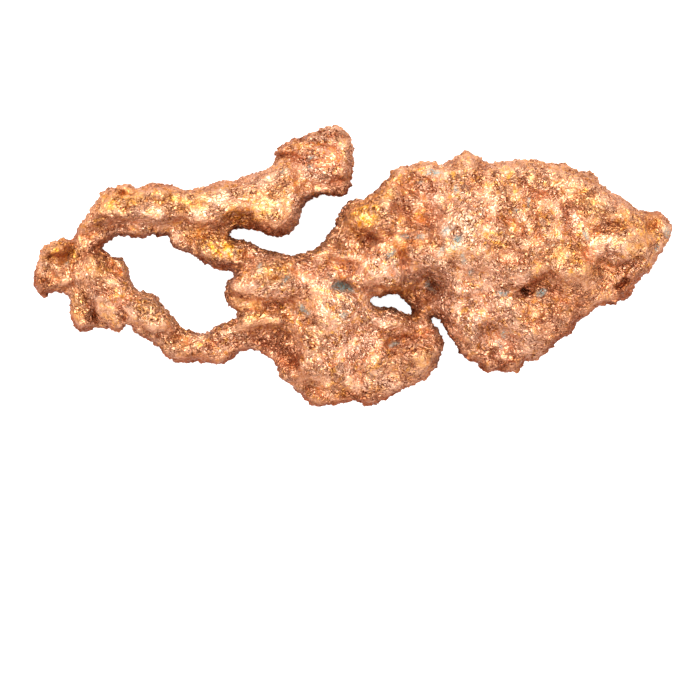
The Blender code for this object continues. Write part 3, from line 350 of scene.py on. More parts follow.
# Where the metal is golden: x, y, half length, half width, turn in degrees, strength.
GOLDEN_PATCHES = [
    (1.3, 5.6, 2.6, 1.7, 40, 1.0), (3.6, 8.0, 1.6, 1.0, 30, 0.7), (7.2, 2.6, 1.6, 0.8, 0, 0.5),
    (27.4, 6.4, 3.2, 1.8, -30, 0.5), (31.0, 5.0, 2.0, 1.6, 0, 0.7), (32.4, 1.8, 1.6, 1.6, 0, 0.6),
    (-15.0, 2.0, 3.6, 1.6, -20, 1.0), (-9.0, -0.9, 2.6, 1.6, 0, 0.6), (-4.0, -7.6, 1.6, 2.2, 20, 0.35),
    (-34.6, -1.4, 1.8, 1.6, 0, 0.3), (-31.4, -4.8, 1.2, 2.2, 0, 0.6), (-26.6, 7.4, 3.0, 1.8, 20, 0.8),
    (-19.4, 7.4, 3.6, 1.6, 0, 0.7), (5.2, 1.6, 1.6, 1.2, 0, 0.6), (24.4, 1.4, 2.4, 1.4, 0, 0.5),
    (-29.2, 0.0, 1.8, 1.6, 0, 0.6), (-20.2, -8.8, 2.0, 1.4, 0, 0.4), (-11.6, -5.0, 3.2, 2.0, 0, 0.6),
    (-33.6, 1.6, 2.6, 1.6, 0, 1.0), (-12.6, 5.6, 3.0, 1.6, 0, 0.9), (-9.0, 6.4, 2.4, 2.4, 20, 0.6),
    (-22.6, -5.6, 2.8, 1.6, -40, 0.6), (5.0, -3.4, 2.2, 1.4, 0, 0.8), (34.0, 4.6, 2.0, 1.6, 0, 0.8),
    (8.2, -10.8, 1.6, 1.2, 0, 0.5), (-17.6, 3.4, 2.2, 1.6, -20, 0.7), (28.4, -0.4, 3.2, 1.2, 10, 0.5),
]

# Where the metal is pinker and lifted with painted light: x, y, half length, half width, turn in degrees,
# strength.
PINK_AND_LIT_PATCHES = [
    (-0.5, -7.5, 6.0, 4.5, 60, 1.0), (14.0, -4.5, 4.5, 4.5, -40, 1.0), (13.5, 5.5, 3.5, 4.0, 0, 0.8),
    (-3.5, 12.2, 3.6, 2.6, 30, 0.9), (-4.0, -1.0, 3.6, 1.8, 0, 0.6), (9.6, 8.6, 3.0, 2.4, 0, 0.6),
    (16.8, -9.0, 3.4, 2.4, 0, 0.6), (24.5, 5.0, 1.6, 2.8, 10, 0.5), (-26.5, -4.8, 2.0, 1.4, -40, 0.5),
    (2.0, -13.0, 4.0, 1.6, 0, 0.5), (-15.0, -9.0, 2.8, 1.0, 15, 0.4), (4.0, -0.9, 6.0, 1.8, -5, 1.0),
    (9.5, -1.0, 3.0, 2.0, -50, 0.8), (-24.0, 5.6, 5.0, 1.2, 0, 0.8), (-15.0, 6.0, 4.5, 1.5, 10, 0.9),
    (-7.6, 6.2, 2.4, 2.2, 45, 0.9), (-13.6, 1.4, 2.6, 1.4, -20, 0.8), (-9.6, -3.4, 2.6, 1.6, 0, 0.9),
    (30.6, 0.8, 3.2, 1.8, 10, 1.0), (29.0, 5.6, 1.8, 1.4, 0, 0.7), (18.4, -8.0, 4.6, 1.6, -35, 0.8),
    (-22.4, -6.4, 2.6, 1.4, -50, 0.9), (-30.2, -4.2, 1.2, 1.4, 0, 0.7), (19.0, -2.2, 1.8, 1.2, 0, 0.6),
]

# Where the red-brown film is heavy and painted shade darkens the metal: x, y, half length, half width, turn
# in degrees, strength.
TARNISH_AND_SHADE_PATCHES = [
    (24.5, -6.2, 5.0, 2.4, 42, 0.9), (16.5, -10.4, 4.6, 1.8, 5, 0.9), (11.6, -6.4, 3.6, 1.4, -55, 1.0),
    (31.5, -2.6, 3.0, 1.6, 50, 0.8), (-7.6, -11.0, 3.6, 1.4, -50, 0.9), (-0.5, -15.4, 5.5, 1.2, 0, 0.9),
    (-17.0, -10.2, 5.0, 1.0, 5, 0.9), (-35.6, -1.8, 2.0, 1.6, 0, 0.9), (-31.6, -6.6, 1.4, 1.4, 0, 0.6),
    (8.4, -4.6, 1.8, 1.4, 0, 0.9), (-9.8, -8.6, 2.4, 1.2, -20, 0.6), (20.0, -7.0, 3.0, 2.6, 0, 0.4),
    (15.0, -6.0, 2.6, 3.0, 20, 0.5), (-31.0, 3.0, 1.6, 2.4, 60, 0.9), (7.6, 3.8, 4.4, 1.2, 5, 0.7),
    (22.8, -3.8, 2.8, 2.0, -30, 0.9), (-33.4, -1.8, 2.4, 1.2, 0, 0.8), (-1.0, 3.0, 2.2, 1.2, 50, 0.6),
    (-6.8, 14.2, 2.6, 1.0, 30, 0.7), (-20.0, 9.4, 9.0, 0.9, 3, 0.5), (-15.0, -10.0, 6.0, 1.4, 8, 0.6),
    (-9.6, -10.2, 2.2, 1.2, -30, 0.8), (-1.0, -10.4, 3.0, 1.4, 10, 0.4), (-5.2, 0.0, 1.6, 1.2, 0, 0.4),
    (35.2, 5.4, 1.8, 1.6, -40, 0.8), (19.6, 4.2, 1.4, 1.6, 0, 0.4), (7.6, 9.0, 2.0, 3.0, 0, 0.3),
]

# Where blue-grey residue is left: x, y, half length, half width, turn in degrees, strength.
RESIDUE_SPOTS = [
    (-10.6, -0.4, 0.8, 0.3, 60, 0.8), (-7.6, -1.8, 0.8, 0.25, 55, 0.7), (-5.6, -5.0, 1.0, 0.4, -40, 0.7),
    (-1.0, -2.6, 1.4, 0.6, -15, 1.0), (-1.1, -5.8, 0.4, 0.25, 0, 0.8), (4.8, -9.0, 0.7, 0.3, 15, 0.7),
    (0.6, -9.4, 0.3, 0.6, 0, 0.5), (4.3, 1.4, 0.7, 0.5, 50, 0.7), (6.0, 3.2, 0.5, 0.3, 0, 0.7),
    (7.8, 3.2, 0.9, 0.25, 0, 0.7), (9.4, 10.5, 1.4, 0.35, -5, 0.9), (11.8, 8.5, 0.4, 0.4, 0, 0.8),
    (10.8, 4.0, 1.0, 0.4, 40, 0.8), (11.8, 2.4, 1.2, 0.5, 50, 0.9), (10.2, 1.4, 0.7, 0.4, 60, 0.6),
    (12.7, 0.6, 0.3, 0.8, 20, 0.7), (13.4, -0.8, 0.3, 0.5, 0, 0.6), (17.1, -3.2, 0.8, 0.35, 20, 0.9),
    (17.5, -7.8, 0.3, 0.6, 0, 0.8), (14.6, -6.0, 0.3, 0.5, 20, 0.7), (21.6, -3.1, 0.8, 0.4, 0, 0.9),
    (20.2, 7.3, 0.25, 0.7, 10, 0.7), (18.7, 6.0, 0.4, 0.25, 40, 0.8), (26.8, 3.5, 0.5, 0.35, -50, 1.0),
    (24.8, 1.0, 0.4, 0.25, 0, 0.8), (22.9, 2.1, 0.3, 0.2, 0, 0.6), (35.0, 2.0, 0.5, 0.4, 40, 0.7),
    (36.4, 3.9, 0.5, 0.6, 0, 0.6), (-4.9, 12.4, 0.5, 0.3, 30, 0.8), (-5.0, 11.3, 0.4, 0.3, 0, 0.7),
    (-7.8, 10.8, 0.4, 0.3, 0, 0.5), (-3.3, 10.8, 0.3, 0.3, 0, 0.4), (17.0, -9.2, 0.7, 0.3, -40, 0.6),
    (8.9, -2.4, 0.9, 0.4, -50, 0.7), (-6.6, -5.4, 0.5, 0.3, 0, 0.5), (29.4, 9.0, 0.3, 0.2, 0, 0.6),
    (-13.0, 4.4, 0.4, 0.2, 0, 0.3), (8.0, 9.6, 0.5, 0.3, 0, 0.5), (-33.0, 0.4, 0.4, 0.3, 0, 0.5),
]


# ---- Settings ----


def metres(name, description, default):
    """A length in metres."""
    return FloatProperty(name=name, description=description, default=default, unit="LENGTH", precision=6)


def number(name, description, default):
    return FloatProperty(name=name, description=description, default=default)


def watts(name, description, default):
    return FloatProperty(name=name, description=description, default=default, unit="POWER")


def whole(name, description, default):
    return IntProperty(name=name, description=description, default=default)


def paint(name, description, *default):
    """An opaque colour."""
    return FloatVectorProperty(
        name=name, description=description, subtype="COLOR", size=4, default=(*default, 1.0))


class NuggetShape(bpy.types.PropertyGroup):
    """Sizes of the metal's own surface. Sizes and heights without a unit are in millimetres."""

    skin_grain: metres("Skin mesh", "Size of the mesh that the surface is made on", 0.00022)
    fine_grain: metres("Fine mesh", "Size of the mesh that carries the finest forms", 0.00013)
    facet_smoothing: whole("Facet smoothing", "How often the solid's flat faces are smoothed", 10)
    fine_smoothing: whole("Fine smoothing", "How often the fine mesh is smoothed", 2)
    knob_spacing: number("Knobs per square millimetre", "How densely the small knobs stand", 0.2)
    knob_size: metres("Knob size", "Radius of a middling knob", 0.00034)
    lump_size: number("Lump size", "Length of the soft lumps", 2.4)
    lump_height: number("Lump height", "Height of the soft lumps", 0.12)
    wrinkle_size: number("Wrinkle width", "Width of the wrinkles", 0.6)
    wrinkle_height: number("Wrinkle height", "Height of the wrinkles", 0.16)
    grain_size: number("Grain size", "Size of the grains", 0.7)
    grain_height: number("Grain height", "Height of the grains", 0.03)
    chip_size: number("Chip size", "Size of the flat tilted chips", 1.7)
    chip_tilt: number("Chip tilt", "Slope of the flat chips", 0.08)
    sheet_size: number("Thick sheet size", "Length of the thick overlapping sheets", 3.2)
    sheet_height: number("Thick sheet height", "Height of the thick sheets' steep edges", 0.10)
    rim_size: number("Rim tooth size", "Size of the teeth round the rim", 0.7)
    rim_height: number("Rim tooth height", "Height of the teeth round the rim", 0.35)
    triangles: whole("Triangles", "Number of triangles in the finished surface", 194000)
    seed: whole("Seed", "Seed of the scattered knobs", 7)


class NuggetFinish(bpy.types.PropertyGroup):
    """Colours, painted shade and highlights, gloss and fine relief of the metal. Sizes and heights are in
    millimetres.
    """

    copper: paint("Copper", "Pinkish orange of the bare metal", 0.77, 0.37, 0.172)
    pale_copper: paint("Pale copper", "Worn, pinker metal on the high spots", 0.94, 0.55, 0.37)
    golden: paint("Golden film", "Golden yellow film", 0.94, 0.42, 0.035)
    # Red-brown of the metal's mottled film, used also as painted shade in hollows, creases, deep valleys, on
    # the flanks and in the tarnish patches.
    hollow: paint("Hollow film", "Red-brown film in the hollows", 0.36, 0.095, 0.035)
    # Dark brown painted shadow at the base of each sheet's step.
    line: paint("Line film", "Dark brown film at the sheets' feet", 0.21, 0.052, 0.019)
    residue: paint("Residue", "Blue-grey residue", 0.30, 0.40, 0.37)
    sheet_size: number("Large sheet size", "Size of the large sheets", 2.2)
    sheet_count: number("Large sheet count", "How many large sheets overlap", 2.4)
    sheet_height: number("Large sheet height", "Height of the large sheets' edges", 0.20)
    # The dark share at the base of each sheet's step is painted shadow, for the large sheets, the streaks and
    # the flakes alike.
    sheet_foot: number("Large sheet foot", "Share of a large sheet that is its dark foot", 0.24)
    streak_size: number("Streak size", "Width of the drawn-out sheets", 0.6)
    streak_length: number("Streak length", "Length of the drawn-out sheets, in widths", 5.0)
    streak_count: number("Streak count", "How many drawn-out sheets overlap", 1.6)
    streak_height: number("Streak height", "Height of the drawn-out sheets", 0.14)
    streak_foot: number("Streak foot", "Share of a drawn-out sheet that is its dark foot", 0.26)
    flake_size: number("Flake size", "Size of the small flakes", 0.8)
    flake_count: number("Flake count", "How many small flakes overlap", 0.9)
    flake_height: number("Flake height", "Height of the small flakes", 0.03)
    flake_foot: number("Flake foot", "Share of a small flake that is its dark foot", 0.18)
    fold_size: number("Fold size", "Size of the soft folds", 1.3)
    fold_height: number("Fold height", "Height of the soft folds", 0.04)
    grit_size: number("Grit size", "Size of the finest grit", 0.22)
    grit_height: number("Grit height", "Height of the finest grit", 0.004)
    plate_size: number("Plate size", "Size of the flat plates", 1.2)
    plate_tilt: number("Plate tilt", "Slope of the flat plates", 0.22)
    # Strength of the painted shadow at the base of each step.
    foot_shadow_strength: number("Foot shade", "How dark the film is at the sheets' feet", 1.0)
    # Strength of the painted highlight along each step's upper edge.
    lip_highlight_strength: number("Lip shade", "How pale the sheets' lips are", 0.6)
    crest_shade: number("Crest shade", "How pale the crests are", 0.2)
    # Strength of the pink patches' pinker colour and painted light.
    pink_and_lit_strength: number("Pink shade", "How pale the worn patches are", 0.7)
    # The four shades below are painted shade: in hollows, in deep valleys, in creases and pits, and on steep
    # flanks, less on the side towards the light.
    hollow_shade: number("Hollow shade", "How dark the film is in hollows", 0.2)
    deep_shade: number("Deep shade", "How dark the film is in deep valleys", 0.08)
    crease_shade: number("Crease shade", "How dark the film is in the creases", 0.25)
    flank_shade: number("Flank shade", "How dark the film is on the flanks", 0.9)
    polished: number("Polished roughness", "Roughness of the brightest metal", 0.32)
    dull: number("Dull roughness", "Roughness of the dullest metal", 0.5)
    residue_roughness: number("Residue roughness", "What residue adds to the roughness", 0.3)
    residue_cover: number("Residue cover", "How far residue hides the metal", 0.85)


class NuggetStudio(bpy.types.PropertyGroup):
    """Floor, lights and camera."""

    floor_colour: paint("Floor", "Pale floor", 0.7, 0.7, 0.7)
    floor_radius: metres("Floor radius", "Radius of the round floor", 1.5)
    floor_glow: number("Floor glow", "Light of the floor itself", 0.9)
    floor_gap: metres("Floor gap", "How far the floor lies under the nugget", 0.00005)
    sky: number("Soft light all round", "Strength of the even light", 1.27)
    key_power: watts("Soft box", "Power of the broad light overhead", 13.9)
    fill_power: watts("Spark light", "Power of the small light that makes the metal glint", 0.2)
    camera_height: metres("Camera height", "Height of the camera above the floor", 0.4055)
    lens: number("Lens", "Focal length in millimetres", 178.0)


# ---- Nodes for both kinds of tree ----


def node(tree, kind, inputs=None, **settings):
    """A node with its settings made and its inputs set or linked, by name or by index."""
    made = tree.nodes.new(kind)
    for name, value in settings.items():
        setattr(made, name, value)
    for socket, value in (inputs or {}).items():
        if isinstance(value, bpy.types.NodeSocket):
            tree.links.new(value, made.inputs[socket])
        else:
            made.inputs[socket].default_value = value
    return made


def math_of(tree, operation, *values):
    return node(tree, "ShaderNodeMath", dict(enumerate(values)), operation=operation).outputs[0]


def chained(tree, operation, values):
    """The result of one operation over some values, from left to right."""
    result = values[0]
    for value in values[1:]:
        result = math_of(tree, operation, result, value)
    return result


def product(tree, *values):
    return chained(tree, "MULTIPLY", values)


def sum_of(tree, *values):
    return chained(tree, "ADD", values)


def strongest(tree, *values):
    return chained(tree, "MAXIMUM", values)


def difference(tree, a, b):
    return math_of(tree, "SUBTRACT", a, b)


def held(tree, value):
    """A value held between 0 and 1."""
    return node(tree, "ShaderNodeClamp", {0: value}).outputs[0]


def vector_of(tree, operation, a, b):
    made = node(tree, "ShaderNodeVectorMath", {0: a, 1: b}, operation=operation)
    return made.outputs["Value" if operation == "DOT_PRODUCT" else "Vector"]


def scaled(tree, vector, scale):
    return node(tree, "ShaderNodeVectorMath", {0: vector, "Scale": scale}, operation="SCALE").outputs[0]


def in_units(tree, place, size):
    """A place counted in forms of the given size."""
    return scaled(tree, place, math_of(tree, "DIVIDE", 1.0, size))


def centred(tree, colour):
    """A colour as a vector round zero."""
    return vector_of(tree, "SUBTRACT", colour, (0.5, 0.5, 0.5))


def swayed(tree, place, scale, reach):
    """A place moved to and fro, so that nothing laid on it runs straight."""
    sway = node(tree, "ShaderNodeTexNoise", {"Vector": place, "Scale": scale, "Detail": 2.0}).outputs["Color"]
    return vector_of(tree, "ADD", place, scaled(tree, centred(tree, sway), reach))


def noise_at(tree, place, size, detail=2.0):
    """Signed noise at a place in millimetres, with forms of the given size."""
    return node(tree, "ShaderNodeTexNoise", {
        "Vector": in_units(tree, place, size), "Scale": 1.0, "Detail": detail, "Roughness": 0.55,
    }, noise_type="FBM", normalize=False).outputs["Fac"]


def cells_of(tree, local):
    """The cells that a place falls into."""
    return node(tree, "ShaderNodeTexVoronoi", {"Vector": local, "Scale": 1.0}, feature="F1").outputs


def chips(tree, place, size):
    """The rise, in millimetres, of flat chips of the given size that each tilt their own way."""
    local = in_units(tree, place, size)
    cells = cells_of(tree, local)
    from_middle = vector_of(tree, "SUBTRACT", local, cells["Position"])
    return product(tree, vector_of(tree, "DOT_PRODUCT", from_middle, centred(tree, cells["Color"])), size)


def streaks(tree, place, along, size):
    """Signed noise drawn out along a direction, with streaks of the given width."""
    samples = []
    for step in STREAK_STEPS:
        reach = scaled(tree, along, product(tree, size, STREAK_REACH * step))
        samples.append(noise_at(tree, vector_of(tree, "ADD", place, reach), size, detail=1.0))
    return product(tree, sum_of(tree, *samples), STREAK_GAIN)


def sheet_rise(tree, share):
    """The rise, from -0.5 to 0.5, of one sheet: steep at its start and gentle to its end."""
    steep = math_of(tree, "DIVIDE", share, LEAF_EDGE)
    gentle = math_of(tree, "DIVIDE", difference(tree, 1.0, share), 1.0 - LEAF_EDGE)
    return difference(tree, math_of(tree, "MINIMUM", steep, gentle), 0.5)


def leaves(tree, place, size, count):
    """The rise of overlapping sheets of the given size."""
    level = product(tree, noise_at(tree, place, size, detail=3.0), count)
    return sheet_rise(tree, math_of(tree, "FRACT", level))


# ---- Geometry trees ----


def geometry_tree(name, inputs):
    """A geometry tree with named inputs, what its start gives, and the socket of its end."""
    tree = bpy.data.node_groups.new(name, "GeometryNodeTree")
    tree.interface.new_socket("Geometry", in_out="INPUT", socket_type="NodeSocketGeometry")
    tree.interface.new_socket("Geometry", in_out="OUTPUT", socket_type="NodeSocketGeometry")
    for title, kind in inputs.items():
        tree.interface.new_socket(title, in_out="INPUT", socket_type="NodeSocket" + kind)
    return tree, tree.nodes.new("NodeGroupInput").outputs, tree.nodes.new("NodeGroupOutput").inputs[0]


def close_tree(tree, given, end, geometry):
    """Ends a tree in Realize Instances and Set Material."""
    whole_mesh = node(tree, "GeometryNodeRealizeInstances", {0: geometry}).outputs[0]
    painted = node(tree, "GeometryNodeSetMaterial", {0: whole_mesh, "Material": given["Material"]})
    tree.links.new(painted.outputs[0], end)


def carried(tree, name, kind="FLOAT"):
    """An attribute that the mesh carries."""
    return node(tree, "GeometryNodeInputNamedAttribute", {"Name": name}, data_type=kind).outputs[0]


def stored(tree, geometry, name, value):
    """The geometry with a value stored on its points."""
    return node(tree, "GeometryNodeStoreNamedAttribute", {
        "Geometry": geometry, "Name": name, "Value": value,
    }, data_type="FLOAT", domain="POINT").outputs[0]


def blurred(tree, vector, rounds):
    """A vector averaged over its neighbours, some rounds in a row."""
    return node(tree, "GeometryNodeBlurAttribute", {
        "Value": vector, "Iterations": rounds,
    }, data_type="FLOAT_VECTOR").outputs[0]


def steepness(tree, up, start):
    """1 where the surface stands steep, and 0 where it lies flat."""
    return held(tree, difference(tree, start, product(tree, up, STEEP_FALL)))


def random_vector(tree, low, high, seed):
    """A vector drawn for each instance."""
    return node(tree, "FunctionNodeRandomValue", {
        "Min": low, "Max": high, "Seed": seed,
    }, data_type="FLOAT_VECTOR").outputs[0]


def knob_tree():
    """Small angular knobs, strewn where the surface is grainy."""
    tree, given, end = geometry_tree("hackly_knobs", {
        "Spacing": "Float", "Knob Size": "Float", "Seed": "Int", "Material": "Material",
    })
    density = product(tree, carried(tree, "grain"), given["Spacing"], 1.0 / MM ** 2)
    strewn = node(tree, "GeometryNodeDistributePointsOnFaces", {
        0: given["Geometry"], "Density": density, "Seed": given["Seed"],
    }, distribute_method="RANDOM")
    knob = node(tree, "GeometryNodeMeshIcoSphere", {"Radius": given["Knob Size"], "Subdivisions": 1})
    placed = node(tree, "GeometryNodeInstanceOnPoints", {
        "Points": strewn.outputs["Points"], "Instance": knob.outputs["Mesh"],
        "Rotation": random_vector(tree, (-3.0, -3.0, -3.0), (3.0, 3.0, 3.0), given["Seed"]),
        "Scale": random_vector(tree, (0.45, 0.45, 0.3), (1.5, 1.3, 0.9), given["Seed"]),
    })
    joined = node(tree, "GeometryNodeJoinGeometry")
    tree.links.new(placed.outputs[0], joined.inputs[0])
    tree.links.new(given["Geometry"], joined.inputs[0])
    close_tree(tree, given, end, joined.outputs[0])
    return tree


def crumple_tree():
    """Lumps with creases between them, wrinkles along the surface's direction, grains, chips and sheets."""
    tree, given, end = geometry_tree(
        "hackly_crumple", {**dict.fromkeys(CRUMPLE_SIZES, "Float"), "Material": "Material"})
    normal = node(tree, "GeometryNodeInputNormal").outputs[0]
    place = scaled(tree, node(tree, "GeometryNodeInputPosition").outputs[0], 1.0 / MM)
    swept = swayed(tree, place, scale=0.45, reach=1.6)
    grain = carried(tree, "grain")
    grit = sum_of(tree, product(tree, grain, 1.0 - SMOOTH_GRIT), SMOOTH_GRIT)

    lumps = math_of(tree, "ABSOLUTE", noise_at(tree, swept, given["Lump Size"]))
    lump_rise = product(tree, difference(tree, lumps, LUMP_MIDDLE), given["Lump Height"])

    wave = streaks(tree, swept, carried(tree, "along", "FLOAT_VECTOR"), given["Wrinkle Size"])
    ridges = difference(tree, RIDGE_MIDDLE, math_of(tree, "ABSOLUTE", wave))
    wrinkle_rise = product(tree, ridges, carried(tree, "wrinkle"), given["Wrinkle Height"])

    cells = cells_of(tree, in_units(tree, swept, given["Grain Size"]))
    rounds = difference(tree, GRAIN_MIDDLE, cells["Distance"])
    grain_rise = product(tree, rounds, grit, given["Grain Height"])

    large = product(tree, chips(tree, swept, given["Chip Size"]), sum_of(tree, grit, CHIP_FLOOR))
    small = product(tree, chips(tree, swept, product(tree, given["Chip Size"], FINER)), grit)
    chip_rise = product(tree, sum_of(tree, large, small), given["Chip Tilt"])

    sheet = leaves(tree, swept, given["Sheet Size"], SHEET_COUNT)
    fine_sheet = leaves(tree, swept, product(tree, given["Sheet Size"], FINER), FINE_COUNT)
    fine_rise = product(tree, fine_sheet, product(tree, given["Sheet Height"], 0.5), grit)
    leaf_rise = sum_of(tree, product(tree, sheet, given["Sheet Height"]), fine_rise)

    facing = vector_of(tree, "DOT_PRODUCT", blurred(tree, normal, CALMING), UP)
    on_rim = steepness(tree, math_of(tree, "ABSOLUTE", facing), RIM_START)
    teeth = noise_at(tree, swept, given["Rim Size"], detail=3.0)
    rim_rise = product(tree, teeth, on_rim, given["Rim Height"])

    rise = sum_of(tree, lump_rise, wrinkle_rise, grain_rise, rim_rise, chip_rise, leaf_rise)
    push = scaled(tree, normal, product(tree, rise, MM))
    moved = node(tree, "GeometryNodeSetPosition", {0: given["Geometry"], "Offset": push}).outputs[0]
    close_tree(tree, given, end, moved)
    return tree


def hollow_tree():
    """Stores a painted shade for each steep flank, lighter on the side towards the light, and how far each
    point stands off the surface around it.
    """
    tree, given, end = geometry_tree("hollows_and_crests", {"Material": "Material"})
    position = node(tree, "GeometryNodeInputPosition").outputs[0]
    normal = node(tree, "GeometryNodeInputNormal").outputs[0]
    calm = blurred(tree, normal, CALMING)
    # Painted shade on the flanks: darker where they stand steep, and lighter on the side towards the light.
    steep = steepness(tree, vector_of(tree, "DOT_PRODUCT", calm, UP), FLANK_START)
    sunward = vector_of(tree, "DOT_PRODUCT", calm, ACROSS)
    film = difference(tree, PAINTED_FLANK_SHADE, product(tree, sunward, SUN_SHARE))
    geometry = stored(tree, given["Geometry"], "flank", product(tree, steep, film))
    for name, (rounds, full) in STANDS.items():
        offset = vector_of(tree, "SUBTRACT", position, blurred(tree, position, rounds))
        stand = vector_of(tree, "DOT_PRODUCT", offset, blurred(tree, normal, rounds // 2))
        geometry = stored(tree, geometry, name, held(tree, math_of(tree, "DIVIDE", stand, full * MM)))
    close_tree(tree, given, end, geometry)
    return tree


def add_nodes(obj, tree, values):
    """Adds a geometry tree to an object, with its inputs set by name before it is first evaluated."""
    modifier = obj.modifiers.new(tree.name, "NODES")
    modifier.node_group = tree
    sockets = {item.name: item.identifier for item in tree.interface.items_tree if item.in_out == "INPUT"}
    for name, value in values.items():
        modifier[sockets[name]] = value


# ---- Mesh steps ----


def link(name, data):
    """An object in the scene for a mesh, a lamp or a camera."""
    made = bpy.data.objects.new(name, data)
    bpy.context.scene.collection.objects.link(made)
    return made


def mesh_of(shape, name):
    """A mesh of what is in a bmesh, which is freed."""
    mesh = bpy.data.meshes.new(name)
    shape.to_mesh(mesh)
    shape.free()
    return mesh


def baked(obj, name):
    """A plain mesh object with what obj looks like after its modifiers. obj is removed."""
    graph = bpy.context.evaluated_depsgraph_get()
    mesh = bpy.data.meshes.new_from_object(obj.evaluated_get(graph))
    bpy.data.objects.remove(obj)
    return link(name, mesh)


def copy_of_node(name):
    """A merged copy of a CAD node."""
    shape = bmesh.new()
    shape.from_mesh(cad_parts[name].data)
    bmesh.ops.remove_doubles(shape, verts=shape.verts[:], dist=0.000001)
    return link("nugget_core", mesh_of(shape, "nugget_core"))


def add_skin(obj, grain, smoothing):
    """One closed skin with an even mesh, smoothed a little."""
    skin = obj.modifiers.new("skin", "REMESH")
    skin.mode = "VOXEL"
    skin.voxel_size = grain
    smooth = obj.modifiers.new("smooth", "SMOOTH")
    smooth.factor = 0.5
    smooth.iterations = smoothing


def thin_out(obj, triangles):
    """Brings a mesh of quads down to a number of triangles."""
    thin = obj.modifiers.new("thin", "DECIMATE")
    thin.ratio = min(1.0, triangles / (2.0 * len(obj.data.polygons)))
    thin.use_collapse_triangulate = True


def vectors_of(mesh, name):
    """The places (co) or the directions (normal) of a mesh's points."""
    flat = np.empty(len(mesh.vertices) * 3, np.float32)
    mesh.vertices.foreach_get(name, flat)
    return flat.reshape(-1, 3).astype(float)


def points_of(mesh):
    return vectors_of(mesh, "co") / MM


def put_points(mesh, points):
    mesh.vertices.foreach_set("co", (points * MM).astype(np.float32).ravel())
    mesh.update()


def put_attribute(mesh, name, values):
    kind, field = ("FLOAT_VECTOR", "vector") if values.ndim == 2 else ("FLOAT", "value")
    attribute = mesh.attributes.get(name) or mesh.attributes.new(name, kind, "POINT")
    attribute.data.foreach_set(field, values.astype(np.float32).ravel())


def eased(value):
    """0 to 1, with a soft start and end."""
    share = np.clip(value, 0.0, 1.0)
    return share * share * (3.0 - 2.0 * share)


def facing_up(mesh, start=0.0):
    """How far each point faces up."""
    return eased(vectors_of(mesh, "normal")[:, 2] * 2.0 + start)


def near_box(plan, corners, margin):
    """The indices of the plan points within a margin of the box round some corners."""
    low = np.min(corners, axis=0) - margin
    high = np.max(corners, axis=0) + margin
    return np.flatnonzero(((plan > low) & (plan < high)).all(axis=1))


def distance_to_path(plan, path):
    """How far each plan point is from the nearest point of a path."""
    nearest = np.full(len(plan), np.inf)
    for start, end in zip(path, path[1:]):
        a = np.array(start)
        run = np.array(end) - a
        along = np.clip((plan - a) @ run / (run @ run), 0.0, 1.0)
        nearest = np.minimum(nearest, np.linalg.norm(plan - a - along[:, None] * run, axis=1))
    return nearest


def is_inside(plan, outline):
    """Whether each plan point lies within a closed outline."""
    inside = np.zeros(len(plan), bool)
    x, y = plan.T
    for (xa, ya), (xb, yb) in zip(outline, outline[1:] + outline[:1]):
        if ya != yb:
            inside ^= ((ya > y) != (yb > y)) & (x < xa + (y - ya) * (xb - xa) / (yb - ya))
    return inside


def spot(plan, x, y, length, width, turn):
    """The plan points near a spot, and its share at each: 1 at its middle and 0 well outside it."""
    near = near_box(plan, [(x, y)], 1.5 * max(length, width))
    angle = math.radians(turn)
    dx, dy = plan[near, 0] - x, plan[near, 1] - y
    along = (dx * math.cos(angle) + dy * math.sin(angle)) / length
    across = (dy * math.cos(angle) - dx * math.sin(angle)) / width
    return near, eased(1.35 - np.hypot(along, across))


def wandering(plan):
    """The plan points, moved a little to and fro, so that named forms have uneven edges."""
    x, y = plan.T
    return plan + WANDER * np.stack(
        [np.sin(2.1 * y + 1.3 * np.sin(1.7 * x)) + 0.5 * np.sin(5.3 * y + 2.0),
         np.sin(1.9 * x + 1.1 * np.sin(2.3 * y)) + 0.5 * np.sin(4.7 * x + 0.7)], axis=1)


def creases_and_bumps(plan, reach):
    """For each crease, knob and pit: the plan points near it, its share at each, and its rise."""
    for path, half_width, height in CREASES.values():
        near = near_box(plan, path, 2.0 * half_width)
        yield near, eased(reach - distance_to_path(plan[near], path) / half_width), height
    for *place, height in BUMPS.values():
        yield *spot(plan, *place), height


def named_relief(plan):
    """How far the ledges, creases, knobs and pits stand above or below the surface."""
    rise = np.zeros(len(plan))
    for outline, height, edge in LEDGES.values():
        near = near_box(plan, outline, edge)
        depth = distance_to_path(plan[near], outline + outline[:1])
        depth[~is_inside(plan[near], outline)] *= -1.0
        rise[near] += height * eased(0.5 + depth / edge)
    for near, share, height in creases_and_bumps(plan, CREASE_REACH):
        rise[near] += RELIEF_SHARE * height * share
    return rise


def add_named_relief(mesh):
    """Raises and sinks the named forms on the side that faces up."""
    points = points_of(mesh)
    points[:, 2] += facing_up(mesh) * named_relief(wandering(points[:, :2]))
    put_points(mesh, points)


def add_character(mesh):
    """Stores each point's wrinkle strength, graininess and wrinkle direction, blended from the table."""
    plan = points_of(mesh)[:, :2]
    table = np.array(CHARACTER)
    gaps = ((plan[:, None, :] - table[None, :, :2]) ** 2).sum(axis=2)
    weights = 1.0 / (gaps + BLEND) ** 2
    weights /= weights.sum(axis=1, keepdims=True)
    doubled = np.radians(2.0 * table[:, 2])
    direction = np.arctan2(weights @ np.sin(doubled), weights @ np.cos(doubled)) / 2.0
    put_attribute(mesh, "along", np.stack([np.cos(direction), np.sin(direction), 0.0 * direction], axis=1))
    put_attribute(mesh, "wrinkle", weights @ table[:, 3])
    put_attribute(mesh, "grain", weights @ table[:, 4])


def patches(plan, spots):
    """The strongest of some spots at each plan point."""
    share = np.zeros(len(plan))
    for *place, strength in spots:
        near, local = spot(plan, *place)
        share[near] = np.maximum(share[near], strength * local)
    return share


